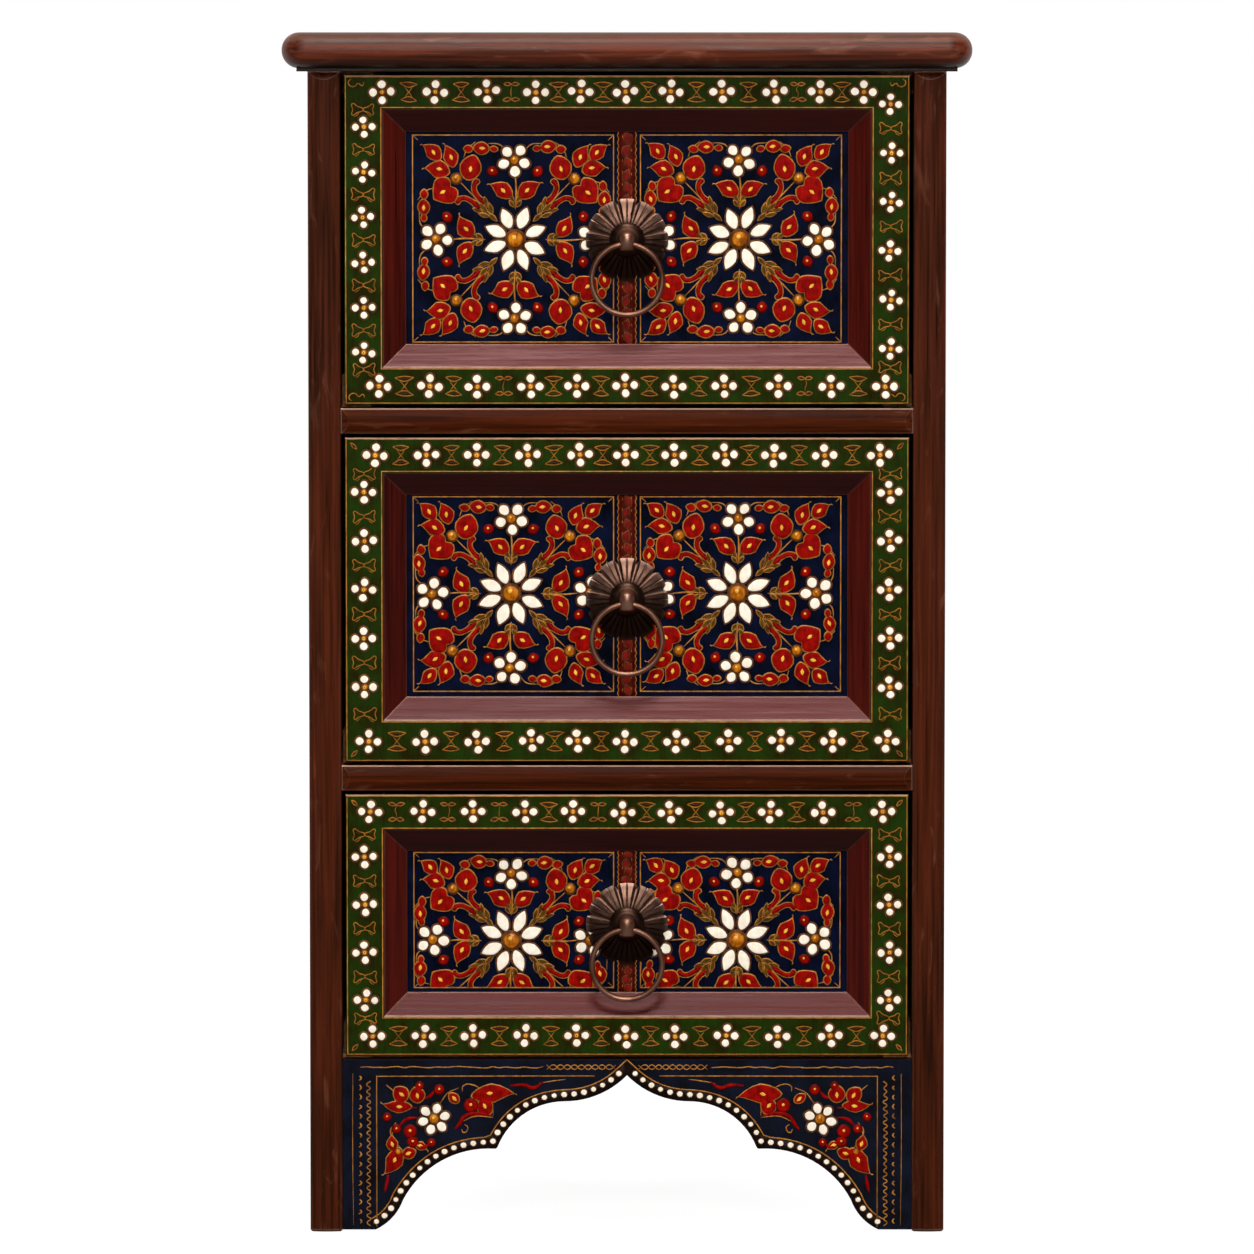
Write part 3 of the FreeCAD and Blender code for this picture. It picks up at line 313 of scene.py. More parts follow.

# %% [markdown]
# Old furniture is rubbed bright along its edges. Edges that face up get more of the light colour,
# as a painted highlight where light from above catches them. At a sharp edge the Bevel node's
# softened normal differs from the true one. A rounded edge whose normal leans up but not straight
# up gets a painted highlight. Noise breaks both lines up.

# %% Rubbed edges and painted highlights
edge_rub, entry, leave = new_group(
    "edge_rub", ("Vector", "Radius", "Reach", "Sides", "Crest"), ("Mask",))
tree = edge_rub
softened = add(tree, "Bevel", {"Radius": entry["Radius"]}, samples=BEVEL_SAMPLES).outputs["Normal"]
true = add(tree, "NewGeometry", {}).outputs["Normal"]
alike = add(tree, "VectorMath", {0: softened, 1: true}, operation="DOT_PRODUCT").outputs["Value"]
edge = spread(tree, alike, 0.99, 0.9)
# Edges that face up take the whole mask and other edges only the Sides share: a painted highlight over the
# wear.
handled = spread(tree, axis(tree, softened, "Z"), 0.05, 0.45, entry["Sides"])
sharp = times(tree, edge, handled, entry["Reach"])
# Painted highlight: a band on rounded edges whose normal leans up.
rise = axis(tree, true, "Z")
lit_crest = times(tree, spread(tree, rise, 0.38, 0.58), spread(tree, rise, 0.998, 0.97), entry["Crest"])
patches = spread(tree, noise(tree, entry["Vector"], 90.0, 4.0), 0.25, 0.5, 0.55)
fill(tree, leave, {"Mask": times(tree, math_of(tree, "MAXIMUM", sharp, lit_crest), patches)})
print("group", edge_rub.name)

# %% [markdown]
# Hand paint is never one even colour. A slow mottling mixes a deeper tone in, fine brush hairs run
# across it, and both change the gloss and the relief a little.

# %% Hand-brushed paint
hand_paint, entry, leave = new_group(
    "hand_paint", ("Vector", "Main", "Deep", "Mottle", "Roughness"), ("Color", "Roughness", "Height"))
tree = hand_paint
cloud = add(tree, "TexNoise", {
    "Vector": entry["Vector"], "Scale": entry["Mottle"], "Detail": 4.0}).outputs["Fac"]
hairs = noise(tree, entry["Vector"], 1.0, 2.0, (900, 900, 130))
tone = math_of(tree, "ADD", times(tree, cloud, 0.65), times(tree, hairs, 0.35))
dulled = spread(tree, cloud, 0.3, 0.7, -0.06, 0.1)
fill(tree, leave, {
    "Color": blend(tree, spread(tree, tone, 0.38, 0.64), entry["Deep"], entry["Main"]),
    "Roughness": math_of(tree, "ADD", entry["Roughness"], dulled), "Height": tone})
print("group", hand_paint.name)

# %% [markdown]
# A stained wood material: grain turned along the board, rubbed edges with painted highlights in a
# lighter red-brown, painted shade under the top's nosing, and a soft wax sheen. The plain wood
# inside is the same grain without stain or rubbing.

# %% Wood materials
GRAIN_TURNS = {"x": (0, 0, 0), "y": (0, 0, -math.pi / 2), "z": (0, math.pi / 2, 0)}
STAIN_DARK = colour(34, 11, 2)
STAIN_LIGHT = colour(76, 28, 7)
TOP_LIGHT = colour(104, 38, 11)
RUBBED_AND_LIT = colour(216, 172, 148)
SCUFFED = colour(136, 84, 60)
SHADE_COLOUR = colour(14, 6, 3)
SHADE_FADE = 0.007
WARM_SHEEN = (1.0, 0.74, 0.66, 1.0)
PLAIN_DARK = colour(112, 74, 44)
PLAIN_LIGHT = colour(160, 116, 74)


def turn_grain(tree, place, along):
    """Coordinates turned so that the grain runs along one axis."""
    return add(tree, "Mapping", {"Vector": place, "Rotation": GRAIN_TURNS[along]}).outputs["Vector"]


def stained_wood(name, along, specular, roughness, crest_highlight, light=STAIN_LIGHT, scuff=0.22,
                 uneven=2.0, shade_below=None):
    """Dark stained hardwood along one axis; worn edges, painted highlights, painted shade below a level."""
    material, tree, sockets, place = start_material(name, specular, WARM_SHEEN)
    run = turn_grain(tree, place, along)
    grain = use_group(tree, wood_grain, {
        "Vector": run, "Dark": STAIN_DARK, "Light": light, "Roughness": roughness})
    streaks = noise(tree, run, 1.0, 5.0, (26, 110, 110), 1.5)
    worn = blend(tree, spread(tree, streaks, 0.6, 0.74, 0.0, scuff), grain["Color"], SCUFFED)
    worn_lit_edges = use_group(tree, edge_rub, {
        "Vector": place, "Radius": 0.0016, "Reach": 1.0, "Sides": 0.38, "Crest": crest_highlight})
    # Rubbed edges in a lighter red-brown, brighter on upward edges as a painted highlight.
    tone = blend(tree, worn_lit_edges["Mask"], worn, RUBBED_AND_LIT)
    # Painted shade: below the level the wood turns nearly black, as the shadow under the top's nosing.
    if shade_below:
        above_shade = spread(tree, axis(tree, place, "Z"), shade_below, shade_below + SHADE_FADE)
        tone = blend(tree, above_shade, SHADE_COLOUR, tone)
    fill(tree, sockets, {"Base Color": tone, "Roughness": grain["Roughness"]})
    slow = noise(tree, run, 1.0, 2.0, (22, 110, 110))
    waver = math_of(tree, "ADD", grain["Height"], times(tree, slow, uneven))
    raise_bump(tree, sockets, waver, 0.00006, 0.0012)
    return material


def plain_wood(along):
    """Unfinished pale wood of the drawer boxes and the back."""
    material, tree, sockets, place = start_material("plain_wood_" + along, 0.2)
    grain = use_group(tree, wood_grain, {
        "Vector": turn_grain(tree, place, along), "Dark": PLAIN_DARK, "Light": PLAIN_LIGHT,
        "Roughness": 0.62})
    fill(tree, sockets, {"Base Color": grain["Color"], "Roughness": grain["Roughness"]})
    raise_bump(tree, sockets, grain["Height"], 0.0001)
    return material


# The crest share paints a highlight on up-leaning rounded edges; the rails get the most.
stained = {along: stained_wood("stained_wood_" + along, along, 0.14, 0.34, 0.6) for along in "xyz"}
# The painted shade covers the thin step under the top's nosing.
step_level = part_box("top_board")[0].z + 0.003
top_wood = stained_wood("top_wood", "x", 0.46, 0.44, 0.06, TOP_LIGHT, scuff=0.5, uneven=14.0,
                        shade_below=step_level)
rail_wood = stained_wood("rail_wood", "x", 0.06, 0.4, 0.95)
plain = {along: plain_wood(along) for along in "xyz"}
print("woods", [item.name for item in list(stained.values()) + list(plain.values())])

# %% [markdown]
# The frames, the panels and the apron are painted on the face only; their edges and backs are bare
# stained wood. The paint ends a few millimetres behind the face, so one material holds both and a
# mask on the depth (Y) chooses between them.

# %% Painted boards
PAINT_FADE = 0.0006


def painted_board(name, face_y, skin, main, deep, specular, roughness, reach=0.0):
    """A board painted on its face, stained wood behind the paint, wear and painted highlight on top edges.
    """
    material, tree, sockets, place = start_material(name, specular)
    grain = use_group(tree, wood_grain, {
        "Vector": place, "Dark": STAIN_DARK, "Light": STAIN_LIGHT, "Roughness": 0.45})
    coat = use_group(tree, hand_paint, {
        "Vector": place, "Main": main, "Deep": deep, "Mottle": 75.0, "Roughness": roughness})
    bare = spread(tree, axis(tree, place, "Y"), face_y + skin, face_y + skin + PAINT_FADE)
    board = blend(tree, bare, coat["Color"], grain["Color"])
    # Upper edges are lightened: wear, and a painted highlight where light from above catches them.
    worn_lit_edges = use_group(tree, edge_rub, {
        "Vector": place, "Radius": 0.001, "Reach": reach, "Sides": 0.0, "Crest": reach})
    rough = add(tree, "Mix", {0: bare, 2: coat["Roughness"], 3: grain["Roughness"]}).outputs[0]
    fill(tree, sockets, {"Base Color": blend(tree, worn_lit_edges["Mask"], board, RUBBED_AND_LIT), "Roughness": rough})
    raise_bump(tree, sockets, coat["Height"], 0.00004, 0.0008)
    return material


FRAME_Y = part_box("upper_front_stiles")[0].y
PANEL_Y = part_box("upper_panel")[0].y
APRON_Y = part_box("apron")[0].y
green = painted_board("green_paint", FRAME_Y, 0.004, colour(26, 49, 4), colour(28, 26, 1),
                      0.04, 0.42, 0.85)
navy = painted_board("navy_paint", PANEL_Y, 0.002, colour(5, 12, 38), colour(2, 4, 13), 0.04, 0.4)
apron_navy = painted_board("apron_paint", APRON_Y, 0.003, colour(13, 18, 34), colour(9, 9, 15),
                           0.07, 0.42)
print("painted boards", [item.name for item in (green, navy, apron_navy)])

# %% [markdown]
# Four sloped strips lead from the frame down to the panel. They are lacquered a deep red-brown,
# and the grain runs along each strip, so a strip whose face turns sideways takes upright grain.
# The lacquer's reflection is reddish, which shows on the lower strip that mirrors the lamps. The
# edges of the lower strip, which faces up, are painted lighter as wear and painted highlight. The
# upper strip faces down and is painted nearly black as painted shade.

# %% Lacquered strips
LACQUER_SHEEN = (1.0, 0.5, 0.49, 1.0)
brown, tree, sockets, place = start_material("brown_paint", 0.42, LACQUER_SHEEN)
facing = add(tree, "NewGeometry", {}).outputs["Normal"]
upright = spread(tree, math_of(tree, "ABSOLUTE", axis(tree, facing, "X"), 0.0), 0.25, 0.35)
run = add(tree, "Mix", {0: upright, 4: place, 5: turn_grain(tree, place, "z")}, data_type="VECTOR")
grain = use_group(tree, wood_grain, {
    "Vector": run.outputs[1], "Dark": colour(38, 4, 1), "Light": colour(74, 10, 1), "Roughness": 0.34})
worn_lit_edges = use_group(tree, edge_rub, {
    "Vector": place, "Radius": 0.0018, "Reach": 0.9, "Sides": 1.0, "Crest": 0.0})
leaning = axis(tree, facing, "Z")
# Wear and painted highlight: the edges of strips that face up are lightened.
worn_lit_strip_edges = times(tree, worn_lit_edges["Mask"], spread(tree, leaning, 0.2, 0.5, 0.06, 0.8))
# Painted shade: a strip that faces down is darkened nearly to black.
shaded_strip_tone = blend(tree, spread(tree, leaning, -0.5, -0.2, 0.72, 0.0), grain["Color"], colour(16, 2, 1))
fill(tree, sockets, {"Base Color": blend(tree, worn_lit_strip_edges, shaded_strip_tone, RUBBED_AND_LIT),
                     "Roughness": grain["Roughness"]})
raise_bump(tree, sockets, grain["Height"], 0.00005, 0.0008)
print("strips", brown.name)

# %% [markdown]
# The pulls are cast bronze. The flower plates have a brown patina that hands never reach, nearly
# black in the hollows. Round the knob and in the lower half behind the ring the plate is darkened
# as painted shade, and the rims of the petals are painted bright, most on the upper half, as wear
# and painted highlight. The painted shade and the rims follow the distance from the plate's own
# middle, so each drawer has its own copy. The knobs and rings are handled, so they are smoother
# and brighter.

# %% Bronze and steel
PLATE_RADIUS = 0.026
KNOB_SWELL = 0.011


def plate_bronze(drawer):
    """The patina, painted shade and painted rim highlights of one drawer's flower plate."""
    low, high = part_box(drawer + "_rosette")
    material, tree, sockets, place = start_material("plate_bronze_" + drawer, 0.5, metallic=1.0)
    centred = add(tree, "Mapping", {"Vector": place, "Location": (0, 0, -(low.z + high.z) / 2),
                                    "Scale": (1, 0, 1)}).outputs["Vector"]
    away = add(tree, "VectorMath", {0: centred}, operation="LENGTH").outputs["Value"]
    up = axis(tree, centred, "Z")
    cloud = noise(tree, place, 260.0, 4.0)
    hollow = add(tree, "AmbientOcclusion", {"Distance": 0.006}, samples=8).outputs["AO"]
    # Patina in the hollows; painted shade round the knob and over the lower half.
    clear = times(tree, spread(tree, hollow, 0.3, 0.95), spread(tree, cloud, 0.25, 0.7, 0.6),
                  spread(tree, up, -0.012, 0.012, 0.06), spread(tree, away, 0.009, 0.0135, 0.35))
    tone = blend(tree, clear, colour(38, 20, 12), colour(126, 93, 78))
    # Wear and painted highlight: bright petal rims, mostly on the upper half.
    rim = times(tree, spread(tree, away, PLATE_RADIUS * 0.9, PLATE_RADIUS),
                spread(tree, up, -0.012, 0.006, 0.05, 0.6))
    fill(tree, sockets, {"Base Color": blend(tree, rim, tone, colour(206, 166, 146)),
                         "Roughness": spread(tree, cloud, 0.3, 0.7, 0.34, 0.44)})
    raise_bump(tree, sockets, cloud, 0.00012)
    return material


def handled_bronze(name, dark, bright, middle=None):
    """Smooth handled bronze; a middle height makes a knob's sides swell round it like a barrel's."""
    material, tree, sockets, place = start_material(name, 0.5, metallic=1.0)
    cloud = noise(tree, place, 60.0, 2.0)
    fill(tree, sockets, {"Base Color": blend(tree, spread(tree, cloud, 0.3, 0.65), dark, bright),
                         "Roughness": spread(tree, cloud, 0.3, 0.7, 0.48, 0.38)})
    if middle is None:
        raise_bump(tree, sockets, cloud, 0.00005)
        return material
    above = math_of(tree, "SUBTRACT", axis(tree, place, "Z"), middle)
    swell = math_of(tree, "DIVIDE", times(tree, above, above), -2 * KNOB_SWELL)
    raise_bump(tree, sockets, swell, 1.0, strength=1.0)
    return material


plates = {drawer: plate_bronze(drawer) for drawer in DRAWERS}
ring_bronze = handled_bronze("ring_bronze", colour(108, 70, 54), colour(168, 120, 98))
knobs = {}
for drawer in DRAWERS:
    low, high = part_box(drawer + "_rosette")
    knobs[drawer] = handled_bronze("knob_bronze_" + drawer, colour(138, 94, 74), colour(190, 142, 120),
                                   (low.z + high.z) / 2)

steel, tree, sockets, place = start_material("screw_steel", 0.5, metallic=1.0)
turning = noise(tree, place, 1.0, 2.0, (1800, 90, 1800))
fill(tree, sockets, {"Base Color": blend(tree, turning, colour(120, 116, 110), colour(170, 166, 160)),
                     "Roughness": spread(tree, turning, 0.3, 0.7, 0.28, 0.45)})
print("metals", steel.name, ring_bronze.name, [item.name for item in knobs.values()])

# %% [markdown]
# Each board of the model takes its finish from its slot, with the grain along the board. Long
# boards run along the chest's width or depth; posts and uprights run up. A few nodes have a finish
# of their own.

# %% Finishes on the model
UPRIGHT = ("front_post", "back_post", "side_panel", "back_panel")
DEEP = ("side_rail", "_runners", "_side_left", "_side_right", "top_kickers", "drawer_stops")


def grain_axis(node):
    """The way the grain runs in a board."""
    if node.startswith(UPRIGHT):
        return "z"
    return "y" if any(word in node for word in DEEP) else "x"


woods = {"stained_wood": stained, "plain_wood": plain}
slot_finish = {"green_paint": green, "navy_paint": navy, "brown_paint": brown,
               "bronze": ring_bronze, "screw_steel": steel}
node_finish = {"top_board": top_wood, "front_rail_upper": rail_wood, "front_rail_lower": rail_wood,
               "apron": apron_navy}
for drawer in DRAWERS:
    node_finish[drawer + "_rosette"] = plates[drawer]
    node_finish[drawer + "_eye_bolt"] = knobs[drawer]
for row in frame["record"]["subparts"]:
    node = row["node"]
    slot = row["material_slot"]
    finish = node_finish.get(node) or slot_finish.get(slot) or woods[slot][grain_axis(node)]
    slots = frame["nodes"][node].data.materials
    slots.clear()
    slots.append(finish)

# %% [markdown]
# The painter's colours. They are thicker than the ground coat and glossier, so each gets the hand
# paint group with its own two tones, and then its sheen, its roughness and its share of metal. Gold
# is a bronze powder in varnish: part metal. The amber beads are varnished drops.

# %% Painter's colours
PAINTS = (
    ("ivory", (252, 244, 228), (238, 224, 200), 0.1, 0.5, 0.0),
    ("umber", (116, 70, 34), (62, 34, 14), 0.08, 0.5, 0.0),
    ("red", (158, 7, 1), (104, 3, 1), 0.04, 0.42, 0.0),
    ("gold", (200, 134, 50), (142, 84, 24), 0.3, 0.42, 0.2),
    ("amber", (212, 126, 8), (130, 62, 3), 0.22, 0.22, 0.0),
    ("yellow", (244, 196, 76), (214, 150, 40), 0.2, 0.4, 0.0),
    ("dull_gold", (184, 116, 34), (122, 72, 14), 0.2, 0.45, 0.2),
    ("ochre", (96, 66, 10), (52, 34, 4), 0.1, 0.45, 0.0),
    ("sepia", (70, 36, 12), (42, 22, 7), 0.1, 0.45, 0.0),
    ("brick", (132, 18, 6), (76, 9, 3), 0.1, 0.42, 0.0),
    ("maroon", (84, 12, 4), (54, 7, 2), 0.1, 0.42, 0.0),
    ("black", (26, 13, 8), (14, 7, 5), 0.1, 0.42, 0.0),
)
paints = {}
for paint, main, deep, specular, roughness, metallic in PAINTS:
    paints[paint], tree, sockets, place = start_material(paint + "_paint", specular, metallic=metallic)
    coat = use_group(tree, hand_paint, {"Vector": place, "Main": colour(*main), "Deep": colour(*deep),
                                        "Mottle": 210.0, "Roughness": roughness})
    fill(tree, sockets, {"Base Color": coat["Color"], "Roughness": coat["Roughness"]})
    raise_bump(tree, sockets, coat["Height"], 0.00006)
print("colours", sorted(paints))

# %% [markdown]
# Every painted shape starts as a disc of one by one, and is narrowed towards its tip and its base
# into a petal, a leaf, a heart or a bud. A slab of it is the dark or gold rim, and a smaller copy
# with a rounded top is the fill, like a drop of paint. The same few shapes are stamped hundreds of
# times, so they stay small.

# %% Brush shapes
SHAPES = {"petal": (0.34, 0.1), "round_petal": (0.26, 0.08), "leaf": (0.55, 0.12),
          "broad_leaf": (0.16, 0.05), "heart": (0.0, 0.4), "almond": (0.35, 0.35), "dot": (0.0, 0.0)}
SQUARISH = 0.8
LEAF_BEND = 0.22
HEART_NOTCH = 0.2
NOTCH_WIDE = 0.14
SLAB = ((1.0, 0.985),)
DROP = ((0.6, 0.98), (0.3, 0.91), (0.1, 0.78))
DOME = ((0.42, 0.98), (0.3, 0.8), (0.2, 0.6), (0.08, 0.4))


def bend(shape, co):
    """Moves a point of a disc to its place in a shape."""
    if shape == "round_petal":
        co.x = math.copysign(abs(2 * co.x) ** SQUARISH, co.x) / 2
        co.y = math.copysign(abs(2 * co.y) ** SQUARISH, co.y) / 2
        co.x *= 1 + 0.4 * co.y
    tip, base = SHAPES[shape]
    up = max(0.0, 2 * co.y)
    down = max(0.0, -2 * co.y)
    co.x *= max(0.0, 1 - up) ** tip * max(0.0, 1 - down) ** base
    if shape == "leaf":
        co.x += LEAF_BEND * up ** 3
    if shape == "heart" and co.y > 0:
        co.y -= HEART_NOTCH * math.exp(-(co.x / NOTCH_WIDE) ** 2)


def lift(bm, faces, height, narrow=1.0):
    """Lifts faces off a flat shape, narrows them and gives them back."""
    lifted = bmesh.ops.extrude_face_region(bm, geom=faces)["geom"]
    risen = [part for part in lifted if isinstance(part, bmesh.types.BMVert)]
    bmesh.ops.translate(bm, verts=risen, vec=(0, 0, height))
    bmesh.ops.scale(bm, verts=risen, vec=(narrow, narrow, 1))
    return [part for part in lifted if isinstance(part, bmesh.types.BMFace)]


def brush_shape(shape, segments, steps):
    """A disc bent to a shape and lifted in steps."""
    bm = bmesh.new()
    bmesh.ops.create_circle(bm, cap_ends=True, segments=segments, radius=0.5)
    for vert in bm.verts:
        bend(shape, vert.co)
    top = bm.faces[:]
    for height, narrow in steps:
        top = lift(bm, top, height, narrow)
    bmesh.ops.recalc_face_normals(bm, faces=bm.faces[:])
    return mesh_from(bm, shape)


rims = {}
fills = {}
for shape in SHAPES:
    segments = 22 if shape == "heart" else 16
    rims[shape] = brush_shape(shape, segments, SLAB)
    fills[shape] = brush_shape(shape, segments, DROP)
fills["bead"] = brush_shape("dot", 14, DOME)
print("brush shapes", sorted(fills), len(fills["bead"].polygons), "faces in a bead")

# %% [markdown]
# Shapes are stamped on a painted face by their place across (x) and up (z) in millimetres, turned
# anticlockwise from upright. Each face has one mesh for each colour, which gathers the stamps.

# %% Stamping
FACE_Y = {"apron": APRON_Y / MM}
for drawer in DRAWERS:
    FACE_Y[drawer + "_panel"] = PANEL_Y / MM
    FACE_Y[drawer + "_lines"] = PANEL_Y / MM
    FACE_Y[drawer + "_border"] = FRAME_Y / MM
SUNK = 0.02
RIM = 0.6
pots = {}


def on_front(x, y, z):
    """From a drawing in millimetres, relief up, to an upright face of the chest in metres."""
    flat = Matrix.Translation((x, y, z)) @ Matrix.Rotation(math.pi / 2, 4, "X")
    return Matrix.Scale(MM, 4) @ flat


def stamp(face, paint, mesh, x, z, turn, width, length, relief):
    """One shape of a colour on a face."""
    key = (face, paint)
    if key not in pots:
        pots[key] = bmesh.new()
    bm = pots[key]
    before = len(bm.verts)
    bm.from_mesh(mesh)
    bm.verts.ensure_lookup_table()
    size = Matrix.Diagonal((width, length, relief, 1))
    spin = Matrix.Rotation(math.radians(turn), 4, "Z")
    place = on_front(x, FACE_Y[face] + SUNK, z) @ spin @ size
    bmesh.ops.transform(bm, matrix=place, verts=bm.verts[before:])


def dab(face, paint, x, z, across, relief, mesh=fills["dot"]):
    """A round touch of paint."""
    stamp(face, paint, mesh, x, z, 0, across, across, relief)


def rimmed(face, rim_paint, paint, shape, x, z, turn, width, length, relief=0.34):
    """A shape with a rim in another colour; a negative width mirrors it."""
    inside = width - math.copysign(2 * RIM, width)
    stamp(face, rim_paint, rims[shape], x, z, turn, width, length, relief * 0.5)
    stamp(face, paint, fills[shape], x, z, turn, inside, length - 2.4 * RIM, relief)


print("faces to paint", sorted(FACE_Y))

# %% [markdown]
# The painter's hand is never quite even. A seeded shake moves and turns what it paints a little,
# and makes it a little larger or smaller. White flowers are the most common motif: a ring of
# petals with brown outlines round an amber bead.

# %% White flowers
BEAD_RING = 1.32
GLINT_FROM = 5
PETAL_RIM = (2.3, 2.5)


def shake(hand, reach=0.5):
    """A small slip of the hand, either way."""
    return hand.uniform(-reach, reach)


def about(hand, size):
    """A size as the hand gets it."""
    return size * hand.uniform(0.95, 1.06)


def bead(face, x, z, across, relief):
    """An amber drop in a dark ring; a large one has a painted glint."""
    dab(face, "umber", x, z, across * BEAD_RING, 0.3, rims["dot"])
    dab(face, "amber", x, z, across, relief, fills["bead"])
    if across > GLINT_FROM:
        glint = across * 0.3
        dab(face, "yellow", x - glint * 0.2, z + glint * 0.5, glint, relief + 0.06)


def flower(face, shape, x, z, petals, reach, width, length, turn, middle, hand, low=1.0):
    """An ivory flower with brown outlines and an amber middle; low flattens its ring of petals."""
    for count in range(petals):
        angle = turn + 360 * count / petals + shake(hand, 3)
        away = reach * hand.uniform(0.96, 1.04)
        side = x - math.sin(math.radians(angle)) * away
        up = z + math.cos(math.radians(angle)) * away * low
        wide = about(hand, width)
        long = about(hand, length)
        stamp(face, "umber", rims[shape], side, up, angle, wide + PETAL_RIM[0], long + PETAL_RIM[1], 0.2)
        stamp(face, "ivory", fills[shape], side, up, angle, wide, long, 0.36)
    bead(face, x, z, middle, middle * 0.22)


print("petal rims", PETAL_RIM)

# %% [markdown]
# Lines are brush strokes. A curve with a round bevel that swells and thins along its points makes
# a good stroke; it is turned into a mesh, flattened to a low ridge, and laid on its face.

# %% Brush strokes
strokes = {}
RIDGE = 0.28
STROKE_RISE = 0.8
STROKE_STEPS = 4


def stroke(face, paint, points, width, taper=0.45, ring=False, straight=False):
    """Keeps one stroke through a few points, thinner at its ends."""
    last = len(points) - 1
    radii = []
    for count in range(len(points)):
        near_end = not ring and count in (0, last)
        radii.append(width / 2 * (taper if near_end else 1.0))
    strokes.setdefault((face, paint), []).append((points, radii, ring, straight))


def curve_mesh(curve):
    """A curve turned into a mesh."""
    drawn = bpy.data.objects.new(curve.name, curve)
    mesh = bpy.data.meshes.new_from_object(drawn)
    bpy.data.objects.remove(drawn)
    return mesh


def stroke_mesh(face, paint):
    """All the strokes of one colour on a face, as one mesh in place."""
    curve = bpy.data.curves.new(face + "_" + paint, "CURVE")
    curve.dimensions = "3D"
    curve.bevel_depth = 1.0
    curve.bevel_resolution = 1
    curve.resolution_u = STROKE_STEPS
    curve.use_fill_caps = True
    for points, radii, ring, straight in strokes[(face, paint)]:
        spline = curve.splines.new("POLY" if straight else "BEZIER")
        knots = spline.points if straight else spline.bezier_points
        knots.add(len(points) - 1)
        for knot, (x, z), radius in zip(knots, points, radii):
            knot.co = (x, z, radius * STROKE_RISE, 1)[:len(knot.co)]
            knot.radius = radius
            if not straight:
                knot.handle_left_type = "AUTO"
                knot.handle_right_type = "AUTO"
        spline.use_cyclic_u = ring
    mesh = curve_mesh(curve)
    mesh.transform(on_front(0, FACE_Y[face] + SUNK, 0) @ Matrix.Diagonal((1, 1, RIDGE, 1)))
    return mesh


def mirrored_points(points, side, up=1, middle_x=0, middle_z=0):
    """Points of a drawing turned to another quarter round a middle."""
    return [(middle_x + side * x, middle_z + up * z) for x, z in points]


print("ridge of a stroke", RIDGE)

# %% [markdown]
# Each panel holds the same bouquet twice: a daisy in the middle, small flowers above, below and to
# the sides, pairs of red leaves between them, and a cluster of leaves in each corner.

# %% The bouquet's leaves
QUARTERS = ((1, 1), (-1, 1), (-1, -1), (1, -1))
CLUSTER_MIDDLE = (37.2, 38.4)
CLUSTER = (
    ("broad_leaf", -9.0, 6.6, 14.6, 17.0, 14),
    ("heart", 7.6, -8.2, 18.6, 18.4, 48),
    ("leaf", 3.8, 14.8, 10.6, 15.6, -16),
    ("leaf", 11.6, 6.4, 11.4, 16.4, -72),
    ("leaf", 15.0, 17.4, 10.2, 14.6, -42),
)
TIP_ASIDE = 0.21
TOUCH = (2.3, 4.2)


def red_leaf(face, shape, x, z, turn, width, length, flip, hand, touched=True):
    """A red leaf with a gold rim and mostly a yellow touch; a pointed one ends in a gold hook."""
    turn += shake(hand, 6)
    width = about(hand, width)
    length = about(hand, length)
    x += shake(hand)
    z += shake(hand)
    rimmed(face, "gold", "red", shape, x, z, turn, width * flip, length)
    if shape == "leaf":
        ahead = Vector((-math.sin(math.radians(turn)), math.cos(math.radians(turn))))
        aside = Vector((ahead.y, -ahead.x)) * flip
        tip = Vector((x, z)) + ahead * (length / 2 - 0.4) + aside * width * TIP_ASIDE
        hook = [tip, tip + ahead * 1.0 + aside * 0.4, tip + ahead * 1.3 + aside * 1.4]
        stroke(face, "gold", hook, 0.8)
    if touched:
        lean = math.radians(turn + shake(hand, 14))
        drop = length * 0.06
        stamp(face, "yellow", fills["almond"], x + math.sin(lean) * drop, z - math.cos(lean) * drop,
              math.degrees(lean), *TOUCH, 0.5)


def quarter_turn(turn, side, up):
    """The turn of a shape after it is mirrored to another quarter."""
    angle = math.radians(turn)
    return math.degrees(math.atan2(side * math.sin(angle), up * math.cos(angle)))


def corner_cluster(face, x, z, side, up, squeeze, hand):
    """Five leaves round a bead in a corner of the bouquet."""
    for shape, across, high, width, length, turn in CLUSTER:
        red_leaf(face, shape, x + side * across, z + up * high * squeeze,
                 quarter_turn(turn, side, up), width, length * (0.5 + 0.5 * squeeze), side * up, hand)
    bead(face, x, z, 6.0, 0.9)


print("leaves in a cluster", len(CLUSTER))

# %% [markdown]
# Between the daisy and each cluster runs a diagonal sprig: a feathered leaf in ochre and a red
# tulip of two curls with gold outlines. Along the four main directions a gold stem with an ochre
# sheath carries a leaf pair and ends in a small flower, with berries and buds beside it.

# %% The bouquet's sprigs
FEATHER = ((14.0, 14.0, -45, 7.0), (15.4, 19.6, -16, 7.4), (19.6, 15.4, -74, 7.4),
           (18.6, 23.6, -12, 6.8), (23.6, 18.6, -78, 6.8), (20.0, 20.2, -45, 8.0))
TULIP = (((19.5, 22.5), (24.0, 27.5), (26.0, 33.5), (23.6, 37.4)),
         ((22.5, 19.5), (27.5, 24.0), (33.5, 26.0), (37.0, 23.2)))
TULIP_WIDE = 2.6
OUTLINE_OUT = 0.25
DIAGONAL = ((12.0, 12.0), (24.0, 25.0), (34.5, 36.0))
STEM = ((0, 19), (0.6, 32), (-0.4, 44))
SHEATH = ((2.2, 22.5), (2.2, 26.0))
SHEATH_LEAN = 38
LEAF_SPOT = (7.8, 32.0)
LEAF_LEAN = 52
